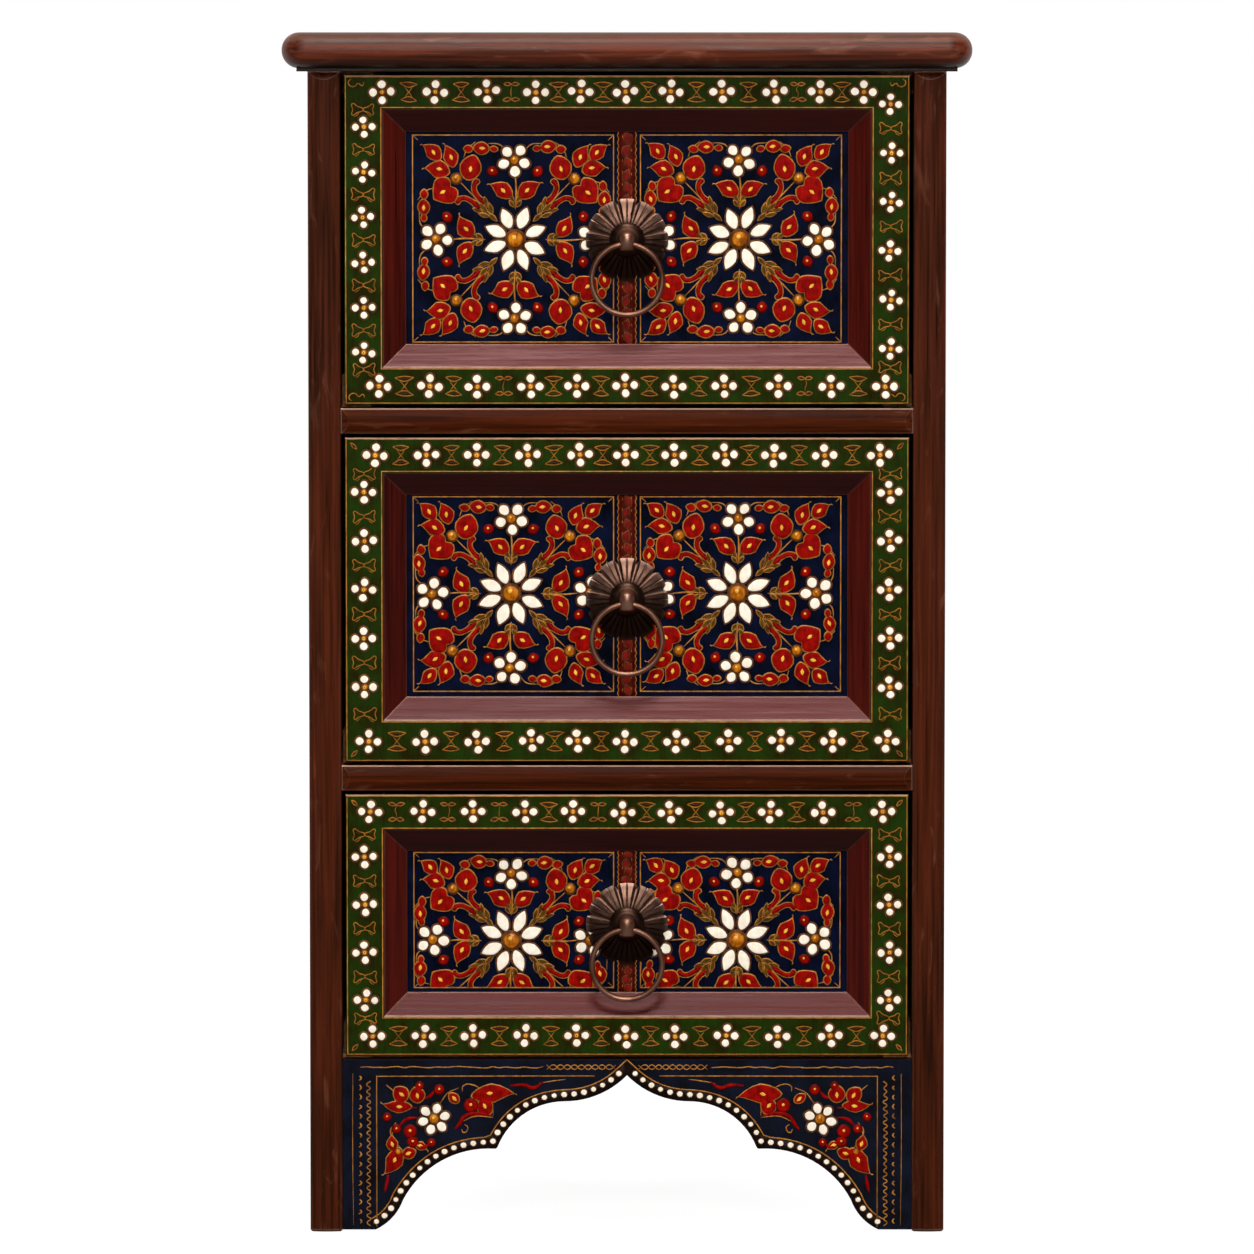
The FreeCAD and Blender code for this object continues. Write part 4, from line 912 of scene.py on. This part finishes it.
BERRY_SPOT = (14.2, 43)
FLOWER_HIGH = 50
BUD_LEAN = 84
BUDS = ((0, 8.6, 11.4), (8.2, 5.6, 7.0), (-7.4, 4.6, 6.0))
BUDS_BY_PULL = (25.5, 56)
BUDS_ELSEWHERE = (21.0, 58.0)


def flame(face, points, width):
    """A red tongue along a few points, with a gold outline."""
    left = []
    right = []
    for before, point, after in zip(points[:1] + points, points, points[1:] + points[-1:]):
        along = (Vector(after) - Vector(before)).normalized()
        aside = Vector((-along.y, along.x)) * (width / 2 + OUTLINE_OUT)
        left.append(Vector(point) + aside)
        right.append(Vector(point) - aside)
    stroke(face, "red", points, width, 0.8)
    stroke(face, "gold", left + right[::-1], 0.6, 1.0, True)


def diagonal_sprig(face, x, z, side, up, squeeze, hand):
    """The feathered leaf and the tulip between the daisy and a corner."""
    stroke(face, "gold", mirrored_points(DIAGONAL, side, up * squeeze, x, z), 1.1)
    for across, high, turn, length in FEATHER:
        rimmed(face, "gold", "ochre", "almond", x + side * across, z + up * high * squeeze,
               quarter_turn(turn + shake(hand, 5), side, up), 3.4, length + 1.0)
    for curl in TULIP:
        flame(face, mirrored_points(curl, side, up * squeeze, x, z), TULIP_WIDE)


def main_sprig(face, x, z, quarter, squeeze, by_pull, hand):
    """A stem with a leaf pair, a small flower, berries and buds, turned by quarters round the daisy."""
    def spot(across, high):
        for _ in range(quarter):
            across, high = -high, across
        return x + across, z + high * squeeze

    turn = 90 * quarter
    out, high = BUDS_BY_PULL if by_pull else BUDS_ELSEWHERE
    tendrils = (((out + 4, high + 3.6), (out + 9.5, high - 1.5), (out + 11.5, high - 6.5)),
                ((6.0, 55.5), (9.5, 59.6), (out - 4, 60.6)))
    stroke(face, "gold", [spot(*point) for point in STEM], 1.2)
    for side in (1, -1):
        for across, level in SHEATH:
            rimmed(face, "gold", "ochre", "almond", *spot(side * across, level),
                   turn - side * SHEATH_LEAN, 3.2, 6.0)
        red_leaf(face, "leaf", *spot(side * LEAF_SPOT[0], LEAF_SPOT[1]), turn - side * LEAF_LEAN,
                 11.4, 16.6, side, hand)
        berry_x, berry_z = spot(side * BERRY_SPOT[0], BERRY_SPOT[1])
        rimmed(face, "maroon", "red", "broad_leaf", berry_x, berry_z, hand.uniform(0, 360), 7.0, 8.0, 0.5)
        dab(face, "yellow", berry_x - 0.4, berry_z + 0.6, 1.6, 0.62)
        for step, wide, long in BUDS:
            red_leaf(face, "broad_leaf", *spot(side * (out + step), high - abs(step) * 0.12),
                     turn - side * BUD_LEAN, wide, long, side, hand, step == 0)
        for tendril in tendrils:
            stroke(face, "gold", [spot(side * across, level) for across, level in tendril], 0.9)
    flower(face, "round_petal", *spot(shake(hand, 1), FLOWER_HIGH), petals=5, reach=7.0, width=6.2,
           length=6.8, turn=turn + (72 if by_pull else 108) + shake(hand, 8), middle=5.4, hand=hand)


print("sprigs", len(FEATHER), "feather leaves,", len(TULIP), "curls")

# %% [markdown]
# The painter squeezed the bouquet where a drawer is lower, and let it run off the panel at the
# bottom of the lowest one. The squeeze moves the stamps together without flattening them.

# %% Bouquets on the panels
DAISIES = {"upper": ((-70.5, 629.2), (71.0, 629.5)), "middle": ((-73.4, 405.4), (70.1, 405.6)),
           "lower": ((-73.4, 184.6), (69.6, 185.0))}
SQUEEZE = {"upper": 1.0, "middle": 0.95, "lower": 0.86}
QUARTERS_BY_PULL = (3, 1)


def bouquet(face, x, z, squeeze, quarter_by_pull, hand):
    """A daisy with its sprigs and its four corner clusters."""
    for quarter in range(4):
        main_sprig(face, x, z, quarter, squeeze, quarter == quarter_by_pull, hand)
    for side, up in QUARTERS:
        diagonal_sprig(face, x, z, side, up, squeeze, hand)
        corner_cluster(face, x + side * CLUSTER_MIDDLE[0], z + up * CLUSTER_MIDDLE[1] * squeeze,
                       side, up, squeeze, hand)
    flower(face, "petal", x, z, petals=8, reach=13.9, width=7.5, length=14.0, turn=22.5, middle=10.2,
           hand=hand)


for seed, drawer in enumerate(DRAWERS):
    hand = random.Random(20 + seed)
    for (x, z), quarter_by_pull in zip(DAISIES[drawer], QUARTERS_BY_PULL):
        bouquet(drawer + "_panel", x, z, SQUEEZE[drawer], quarter_by_pull, hand)
print("bouquets", sum(len(pair) for pair in DAISIES.values()))

# %% [markdown]
# Gold lines frame the two halves of each panel, with a short tick in every corner. Between them
# stands a dark red strip with wavy gold edges and a chain of leaning red leaves. Straight lines are
# strokes with sharp corners.

# %% Panel lines and centre strip
MOULDING = 14.6
LINE_IN = {"upper": (1.2, 2.0), "middle": (3.2, 1.2), "lower": (2.7, 1.1)}
HALF_OUT = 135.2
HALF_IN = 8.5
TICK = (3.4, 3.2)
STRIP_WIDE = 11.6
STRIP_WAVER = 0.03
WAVES = 60
LINKS = 17
VEIN = ((-1.6, -3.4), (0.4, -1.0), (-0.2, 1.0), (1.4, 3.2))
CURL = ((4.6, -1.0), (2.8, 1.6), (4.4, 3.0))
panel_lines = {}
for drawer in DRAWERS:
    face = drawer + "_lines"
    low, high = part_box(drawer + "_moulding")
    bottom = low.z / MM + MOULDING
    top = high.z / MM - MOULDING
    line_low = bottom + LINE_IN[drawer][0]
    line_high = top - LINE_IN[drawer][1]
    panel_lines[drawer] = (line_low, line_high)
    for side in (-1, 1):
        corners = ((side * HALF_IN, line_low), (side * HALF_OUT, line_low),
                   (side * HALF_OUT, line_high), (side * HALF_IN, line_high))
        stroke(face, "gold", corners, 1.1, 1.0, True, True)
        for x, z in corners:
            inwards = 1 if abs(x) == HALF_IN else -1
            up = 1 if z == line_low else -1
            stroke(face, "gold", [(x, z), (x + side * inwards * TICK[0], z + up * TICK[1])], 0.9, 0.5)
    tall = top - bottom
    band = bmesh.new()
    bmesh.ops.create_grid(band, x_segments=1, y_segments=40, size=0.5)
    for vert in band.verts:
        vert.co.x += STRIP_WAVER * math.sin(vert.co.y * 61 + vert.co.x * 9)
    lift(band, band.faces[:], 1.0)
    strip = mesh_from(band, "centre_band")
    stamp(face, "maroon", strip, 0, (bottom + top) / 2, 0, STRIP_WIDE, tall - 0.6, 0.12)
    hand = random.Random(30 + tall)
    for side in (-1, 1):
        wave = [(side * (5.2 + 0.7 * (count % 2)), bottom + tall * count / WAVES)
                for count in range(WAVES + 1)]
        stroke(face, "dull_gold", wave, 0.7, 1.0)
    for count in range(LINKS):
        z = bottom + tall * (count + 0.5) / LINKS
        lean = (-1) ** count
        rimmed(face, "umber", "brick", "almond", 0.6 * lean, z, lean * hand.uniform(16, 34),
               hand.uniform(5.4, 6.8), tall / LINKS + 1.4, 0.3)
        stroke(face, "gold", mirrored_points(VEIN, lean, 1, 0, z), 0.5)
        for side in (-1, 1):
            stroke(face, "dull_gold", mirrored_points(CURL, side, 1, 0, z + shake(hand, 1.2)), 0.6)
for drawer, pair in panel_lines.items():
    print("panel lines", drawer, [round(value, 1) for value in pair])

# %% [markdown]
# The green frame round each panel carries a running border of small flowers with a gold twist
# between each two. In a row a twist is an hourglass or a goblet, in a column a bow. Each is made
# of a few strokes round its own middle.

# %% Gold twists
LOBE_APART = 0.94


def twist(face, x, z, points, width, taper=0.45, ring=False, tilt=0.0, paint="dull_gold"):
    """One stroke of a twist, turned and moved to its place."""
    cos, sin = math.cos(math.radians(tilt)), math.sin(math.radians(tilt))
    placed = [(x + cos * px - sin * pz, z + sin * px + cos * pz) for px, pz in points]
    stroke(face, paint, placed, width, taper, ring)


def pointed_loop(face, x, z, wide, high, deep, tilt=0.0):
    """A loop with two pointed ends and a dark filling, high above its ends and deep below."""
    for rise in (high, -deep):
        bent = [(-wide, 0), (-wide * 0.45, rise * 0.7), (0, rise), (wide * 0.45, rise * 0.7), (wide, 0)]
        twist(face, x, z, bent, 0.72, 0.7, tilt=tilt)
    sag = (high - deep) * 0.4
    filling = [(-wide * 0.6, sag * 0.6), (0, sag), (wide * 0.6, sag * 0.6)]
    twist(face, x, z, filling, 1.5, tilt=tilt, paint="sepia")


def lobes(face, x, z, widths, high, deep, tilts, hand):
    """Two pointed loops side by side."""
    for side in (-1, 1):
        wide = hand.uniform(*widths)
        pointed_loop(face, x + side * wide * LOBE_APART, z, wide, high, deep, side * hand.uniform(*tilts))


def goblet(face, x, z, hand):
    """Two lobes, a thin stem and two leaves."""
    lobes(face, x, z + 5.0, (2.4, 2.9), 1.1, 1.0, (-4, 14), hand)
    stem = [(0.4, 4.0), (shake(hand, 1.2), 1.4), (shake(hand, 0.8), -0.8), (0, -3.4)]
    twist(face, x, z, stem, 0.5)
    lobes(face, x, z - 4.7, (2.5, 3.0), 1.3, 1.1, (-16, 8), hand)


def hourglass(face, x, z, hand):
    """A cup above, two fine crossing strokes and a roof-like foot below."""
    cup = hand.uniform(5.0, 6.2)
    foot = hand.uniform(4.8, 6.0)
    pointed_loop(face, x, z + 5.3, cup, 0.9, 2.3, shake(hand, 5))
    for side in (-1, 1):
        cross = [(side * cup * 0.5, 3.6), (side * 1.0, 1.2), (-side * 0.9, -1.2),
                 (-side * foot * 0.5, -3.6)]
        twist(face, x, z, cross, 0.5)
    pointed_loop(face, x, z - 5.2, foot, 2.3, 1.0, shake(hand, 5))


def bow(face, x, z, hand):
    """Two closed loops, each with a dark filling and a tail."""
    for side in (-1, 1):
        wide = side * hand.uniform(6.4, 7.6)
        rise = hand.uniform(3.0, 4.4)
        fall = hand.uniform(2.6, 4.0)
        loop = [(0, 0), (wide * 0.5, rise * 0.55), (wide * 0.95, rise), (wide * 0.9, 0),
                (wide * 0.95, -fall), (wide * 0.5, -fall * 0.55)]
        twist(face, x, z, loop, 0.65, 1.0, True)
        twist(face, x, z, [(wide * 0.4, 0.5), (wide * 0.8, rise * 0.4)], 1.5, paint="sepia")
        tail = [(wide * 0.3, -fall * 0.4), (wide * 0.55, -fall - 0.4), (wide * 0.8, -fall - 1.2)]
        twist(face, x, z, tail, 0.5)


print("twists", [kind.__name__ for kind in (goblet, hourglass, bow)])

# %% [markdown]
# The border itself. The painter spaced the rows by eye, so their places across are listed; the
# columns are even, by their number and their room above and below. Gold lines run along both edges
# of the frame, and its corners have a curl or a small loop.

# %% Border flowers
ROWS = {
    "upper": ((-154.1, -120.5, -88.1, -57.3, -29.1, -0.9, 27.7, 59.7, 93.0, 121.5, 148.9),
              (-156.3, -124.3, -94.4, -60.8, -31.7, -1.2, 29.6, 61.3, 95.5, 128.8, 162.8)),
    "middle": ((-158.8, -126.5, -94.8, -62.4, -29.7, -0.9, 29.9, 61.9, 92.7, 124.7, 159.6),
               (-163.3, -127.7, -94.8, -60.2, -31.3, -1.2, 31.1, 64.4, 97.4, 130.1, 164.3)),
    "lower": ((-162.6, -129.3, -97.3, -64.6, -34.2, -2.5, 27.3, 59.7, 90.8, 124.1, 161.8),
              (-161.1, -128.7, -97.3, -64.3, -32.0, -0.6, 30.5, 62.9, 95.5, 128.8, 162.1)),
}
COLUMNS = {"upper": ((6, 32.4, 32.6), (6, 18.0, 35.0)), "middle": ((5, 34.4, 47.3), (5, 34.4, 47.3)),
           "lower": ((4, 39.5, 35.2), (4, 39.5, 35.2))}
HOURGLASSES = {"upper": 0.8, "middle": 1.0, "lower": 0.6}
ROW_PETAL = {"upper": 5.2, "middle": 5.1, "lower": 5.0}
COLUMN_PETAL = {"upper": 4.5, "middle": 5.0, "lower": 4.9}
CORNER_ROOM = 16
CURL_SPOT = (7.6, 4.6)
LOOP_SPOT = (5.6, 5.2)
CORNER_CURL = ((-5.0, -0.6), (-4.0, 1.8), (-1.2, 0.4), (0.6, 2.2), (3.6, 2.0), (4.8, -0.6), (3.0, -2.4))
EDGE_LINES = ((0.9, 0.8), (0.8, 1.0))


def border_flower(face, x, z, across, hand):
    """Four ivory petals round a small bead with a bright ring and a dark dot."""
    flower(face, "round_petal", x, z, petals=4, reach=across * 0.66 + 2.2, width=across,
           length=across * 0.98, turn=shake(hand, 6), middle=3.8, hand=hand, low=0.88)
    dab(face, "yellow", x, z, 2.3, 0.9)
    dab(face, "umber", x, z, 1.0, 0.96)


for seed, drawer in enumerate(DRAWERS):
    face = drawer + "_border"
    hand = random.Random(40 + seed)
    frame_low, frame_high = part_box(drawer + "_front_stiles")
    open_low, open_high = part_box(drawer + "_moulding")
    left, right = frame_low.x / MM, frame_high.x / MM
    bottom, top = frame_low.z / MM, frame_high.z / MM
    hole_left, hole_right = open_low.x / MM, open_high.x / MM
    hole_bottom, hole_top = open_low.z / MM, open_high.z / MM
    levels = ((top + hole_top) / 2, (bottom + hole_bottom) / 2)
    for row, z in zip(ROWS[drawer], levels):
        for x in row:
            border_flower(face, x, z + shake(hand), ROW_PETAL[drawer], hand)
        for x, beside in zip(row, row[1:]):
            between = hourglass if hand.random() < HOURGLASSES[drawer] else goblet
            between(face, (x + beside) / 2, z, hand)
    middles = ((left + hole_left) / 2, (right + hole_right) / 2)
    for (count_up, from_top, from_bottom), x in zip(COLUMNS[drawer], middles):
        step = (top - from_top - bottom - from_bottom) / (count_up - 1)
        for count in range(count_up):
            z = bottom + from_bottom + step * count
            border_flower(face, x + shake(hand), z, COLUMN_PETAL[drawer], hand)
            if count:
                bow(face, x, z - step / 2, hand)
        for level, first in zip(levels, (top - from_top, bottom + from_bottom)):
            if abs(first - level) > CORNER_ROOM:
                bow(face, x, (level + first) / 2, hand)
    for side, x in zip((1, -1), (left, right)):
        for up, z in zip((1, -1), (bottom, top)):
            if drawer == "upper":
                curl = mirrored_points(CORNER_CURL, -side, up, x + side * CURL_SPOT[0],
                                       z + up * CURL_SPOT[1])
                stroke(face, "dull_gold", curl, 0.75)
            else:
                pointed_loop(face, x + side * LOOP_SPOT[0], z + up * LOOP_SPOT[1], wide=2.8, high=0.9,
                             deep=0.9, tilt=side * up * 45)
    (outer, outer_width), (inner, inner_width) = EDGE_LINES
    edges = ((left + outer, bottom + outer, right - outer, top - outer, outer_width),
             (hole_left - inner, hole_bottom - inner, hole_right + inner, hole_top + inner, inner_width))
    for west, south, east, north, width in edges:
        corners = ((west, south), (east, south), (east, north), (west, north))
        stroke(face, "gold", corners, width, 1.0, True, True)
print("border faces", [drawer + "_border" for drawer in DRAWERS])

# %% [markdown]
# The apron's lower edge is a pointed arch of lobes. A row of white beads follows it on a black
# band, with a gold line behind. The arch is the same run of arcs as in the joiner's drawing, from
# the foot to the middle; moving it inwards along its normals gives the lines beside it.

# %% The arch's lines
ARCH = (((-159.5, 1.3), (-142.1, 20.4), -2.6), ((-142.1, 20.4), (-82.6, 52.8), 10.2),
        ((-82.6, 52.8), (-40.0, 83.2), 8.2), ((-40.0, 83.2), (0.0, 99.8), -4.4))
ARC_STEPS = 20
POINT_ROOM = 1.35
CLEAR_SHARE = 0.96


def arch_line(inset):
    """Points along the left half of the arch, moved into the board."""
    points = []
    for start, end, rise in ARCH:
        run = Vector(end) - Vector(start)
        across = Vector((-run.y, run.x)).normalized()
        for count in range(ARC_STEPS):
            share = count / ARC_STEPS
            slope = run + across * rise * 4 * (1 - 2 * share)
            inwards = Vector((-slope.y, slope.x)).normalized()
            spot = Vector(start) + run * share + across * rise * 4 * share * (1 - share)
            points.append(spot + inwards * inset)
    points.append(Vector((ARCH[-1][1][0], ARCH[-1][1][1] + inset * POINT_ROOM)))
    return points


arch_edge = arch_line(0.0)


def clear_line(inset):
    """The moved line without the stretch that would cross itself at the cusp."""
    kept = []
    for point in arch_line(inset):
        if point.x <= 0 and min((point - spot).length for spot in arch_edge) > inset * CLEAR_SHARE:
            kept.append(point)
    return kept


def even_walk(points, count):
    """So many points at an even step along a line."""
    runs = [(end - start).length for start, end in zip(points, points[1:])]
    spots = []
    for number in range(count):
        left = sum(runs) * (number + 0.4) / (count + 0.5)
        piece = 0
        while piece < len(runs) - 1 and left > runs[piece]:
            left -= runs[piece]
            piece += 1
        spots.append(points[piece].lerp(points[piece + 1], min(1.0, left / runs[piece])))
    return spots


print("arch edge points", len(arch_edge))

# %% [markdown]
# The black band is a flat shape between the edge and its moved copy: a filled flat curve with a
# little thickness, made a mesh and laid on the apron. The beads are stamped along the middle. All
# of the apron's painting is drawn for the left half and mirrored for the right one.

# %% The arch's band and beads
BAND_EDGE = 0.5
BAND_WIDE = 7.4
BAND_THICK = 0.06
BEAD_LINE = 4.3
BEADS = 31


def apron_stroke(side, paint, points, width, taper=0.45, straight=False):
    """A stroke on one half of the apron."""
    stroke("apron", paint, mirrored_points(points, side), width, taper, False, straight)


for side in (1, -1):
    outline = clear_line(BAND_EDGE) + clear_line(BAND_WIDE)[::-1]
    curve = bpy.data.curves.new("arch_band", "CURVE")
    curve.dimensions = "2D"
    curve.fill_mode = "BOTH"
    curve.extrude = BAND_THICK
    spline = curve.splines.new("POLY")
    spline.points.add(len(outline) - 1)
    for knot, point in zip(spline.points, outline):
        knot.co = (side * point.x, point.y, 0, 1)
    spline.use_cyclic_u = True
    stamp("apron", "black", curve_mesh(curve), 0, 0, 0, 1, 1, 1)
    hand = random.Random(60 - side)
    for point in even_walk(clear_line(BEAD_LINE), BEADS):
        across = hand.uniform(3.1, 3.9)
        dab("apron", "umber", side * point.x, point.y, across + 1.0, 0.2, rims["dot"])
        stamp("apron", "ivory", fills["dot"], side * point.x, point.y, 0, across, across * 0.92, 0.5)
    apron_stroke(side, "gold", clear_line(BAND_WIDE), 0.8, 1.0, True)
print("beads", BEADS, "on each half")

# %% [markdown]
# In each spandrel of the apron a white flower sits between red buds, berries and curling leaves.

# %% Flowers on the apron
APRON_FLOWER = (-122.5, 71.9)
APRON_AMBER = (-145.3, 51.1)
APRON_LEAVES = (
    ("broad_leaf", -144.0, 87.7, 9.5, 10.7, 45),
    ("broad_leaf", -132.8, 87.9, 9.7, 10.4, 10),
    ("leaf", -145.5, 80.2, 7.0, 17.0, 92),
    ("broad_leaf", -109.5, 85.0, 5.6, 7.8, 50),
    ("broad_leaf", -89.7, 79.9, 9.2, 10.2, -150),
    ("leaf", -84.9, 88.7, 11.2, 27.3, -84),
    ("leaf", -149.1, 56.4, 7.0, 10.2, 20),
    ("leaf", -147.7, 45.0, 10.7, 19.4, 152),
    ("broad_leaf", -138.5, 50.1, 7.0, 8.5, -70),
    ("leaf", -130.3, 54.7, 4.6, 7.8, -110),
)
APRON_BERRIES = ((-131.6, 93.3, 4.8), (-119.1, 90.7, 6.3), (-152.2, 73.2, 5.1), (-99.1, 80.7, 8.7),
                 (-146.3, 65.6, 5.6), (-137.6, 64.1, 8.2), (-136.0, 57.4, 6.8), (-124.2, 56.8, 5.0))
APRON_CURLS = (
    ((-122.5, 89.5), (-125.1, 86.5), (-128.3, 85.0)),
    ((-74.0, 93.2), (-65.5, 93.6), (-59.4, 91.8), (-53.1, 95.5)),
    ((-85.5, 73.8), (-94.6, 75.6), (-103.1, 73.5), (-106.5, 68.5), (-109.4, 65.2)),
    ((-151.6, 36.2), (-152.5, 30.7), (-153.7, 25.1)),
    ((-133.1, 72.9), (-140.0, 71.7), (-144.5, 67.3)),
    ((-135.2, 57.6), (-129.5, 54.0), (-124.6, 56.7)),
    ((-140.0, 79.7), (-133.4, 79.0)),
)
APRON_STEMS = (
    ((-55.8, 94.7), (-47.3, 96.2), (-39.1, 97.2)),
    ((-117.6, 83.1), (-114.0, 88.3), (-106.5, 91.9)),
    ((-104.3, 89.4), (-104.0, 93.0), (-97.0, 93.5), (-89.5, 87.5)),
    ((-84.9, 72.9), (-97.0, 73.6), (-104.0, 70.5)),
    ((-103.1, 68.5), (-101.0, 66.4), (-103.6, 63.2), (-105.0, 65.4)),
    ((-89.7, 83.5), (-85.5, 79.2), (-84.9, 73.8)),
    ((-146.5, 69.8), (-150.1, 64.7), (-148.5, 59.6), (-142.8, 52.3)),
    ((-152.8, 93.8), (-149.1, 90.7), (-146.5, 88.3)),
    ((-118.8, 81.4), (-115.8, 86.7)),
)
for side in (1, -1):
    hand = random.Random(70 + side)
    for shape, x, z, width, length, turn in APRON_LEAVES:
        red_leaf("apron", shape, side * x, z, side * turn, width + 1.4, length + 1.6, side, hand)
    for x, z, across in APRON_BERRIES:
        rimmed("apron", "maroon", "red", "dot", side * x, z, 0, across + 1.0, across + 1.0, 0.5)
        dab("apron", "yellow", side * x, z + 0.5, across * 0.24, 0.62)
    for curl in APRON_CURLS:
        apron_stroke(side, "red", curl, 2.4, 0.4)
    for stem in APRON_STEMS:
        apron_stroke(side, "gold", stem, 0.8)
    bead("apron", side * APRON_AMBER[0], APRON_AMBER[1], 3.6, 0.8)
    flower("apron", "round_petal", side * APRON_FLOWER[0], APRON_FLOWER[1], petals=6, reach=6.9,
           width=5.6, length=6.6, turn=-side * 15, middle=6.2, hand=hand)
print("apron leaves", len(APRON_LEAVES), "berries", len(APRON_BERRIES), "on each half")

# %% [markdown]
# Gold lines close the apron's painting towards the posts: a straight line round the spandrel, a
# zigzag and a column of dashes beside it, and a wavy line above that ends in a scroll.

# %% Lines on the apron
SPANDREL_LINE = ((-20.6, 99.4), (-158.8, 99.2), (-158.8, 3.0))
POST_LINE = ((-173.9, 101.0), (-174.1, 50.0), (-173.6, 4.0))
ZIGZAGS = 43
DASHES = 16
WAVE_POINTS = 30
SCROLL_POINTS = 11
for side in (1, -1):
    hand = random.Random(80 + side)
    apron_stroke(side, "gold", SPANDREL_LINE, 0.9, 1.0, True)
    apron_stroke(side, "gold", POST_LINE, 0.5)
    zigzag = [(-163.9 + 1.1 * (-1) ** count + shake(hand, 0.3), 3.6 + 2.2 * count)
              for count in range(ZIGZAGS)]
    apron_stroke(side, "gold", zigzag, 0.75, 1.0)
    for count in range(DASHES):
        z = 5.0 + 6.1 * count
        dash = ((-169.8 + shake(hand), z), (-168.6, z + 1.6), (-169.6, z + hand.uniform(2.6, 3.6)))
        apron_stroke(side, "gold", dash, 1.2)
    wave = [(-169.1 + 4 * count, 104.9 + shake(hand)) for count in range(WAVE_POINTS)]
    apron_stroke(side, "gold", wave, 0.7)
    for way in (-1, 1):
        scroll = [(-51.0 + 4.4 * count, 105.0 + way * 1.5 * (-1) ** count)
                  for count in range(SCROLL_POINTS)]
        apron_stroke(side, "gold", scroll, 0.7)
print("apron dashes", DASHES, "on each half")

# %% [markdown]
# Last, each colour's stamps and strokes on a face become one piece. Doubles are merged so that the
# strokes close at their caps, the normals are turned outwards, and the piece rides on its drawer.
# The lowest bouquets run off their panel: a plane along its bottom line cuts them, and the cut
# shapes are closed again.

# %% Painted pieces
CUT_LEVEL = (panel_lines["lower"][0] + 0.4) * MM
SAME_POINT = 1e-6
ON_PLANE = 1e-7


def body_of(face):
    """The body that carries a painted face."""
    return "carcass" if face == "apron" else "drawer_" + face.split("_")[0]


def cut_below(bm, level):
    """Takes away what lies below a level and closes the cut shapes."""
    whole = bm.verts[:] + bm.edges[:] + bm.faces[:]
    bmesh.ops.bisect_plane(bm, geom=whole, dist=ON_PLANE, plane_co=(0, 0, level), plane_no=(0, 0, -1),
                           clear_outer=True)
    bmesh.ops.holes_fill(bm, edges=[edge for edge in bm.edges if edge.is_boundary])


triangles = 0
for face, paint in sorted(set(pots) | set(strokes)):
    bm = pots.get((face, paint)) or bmesh.new()
    if (face, paint) in strokes:
        bm.from_mesh(stroke_mesh(face, paint))
    bmesh.ops.remove_doubles(bm, verts=bm.verts[:], dist=SAME_POINT)
    if face == "lower_panel":
        cut_below(bm, CUT_LEVEL)
    bmesh.ops.recalc_face_normals(bm, faces=bm.faces[:])
    for part in bm.faces:
        part.smooth = True
    name = face + "_" + paint
    mesh = mesh_from(bm, name)
    mesh.materials.append(paints[paint])
    piece = put(name, mesh)
    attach(piece, body_of(face))
    triangles += sum(len(polygon.vertices) - 2 for polygon in mesh.polygons)
print("painted triangles", triangles)
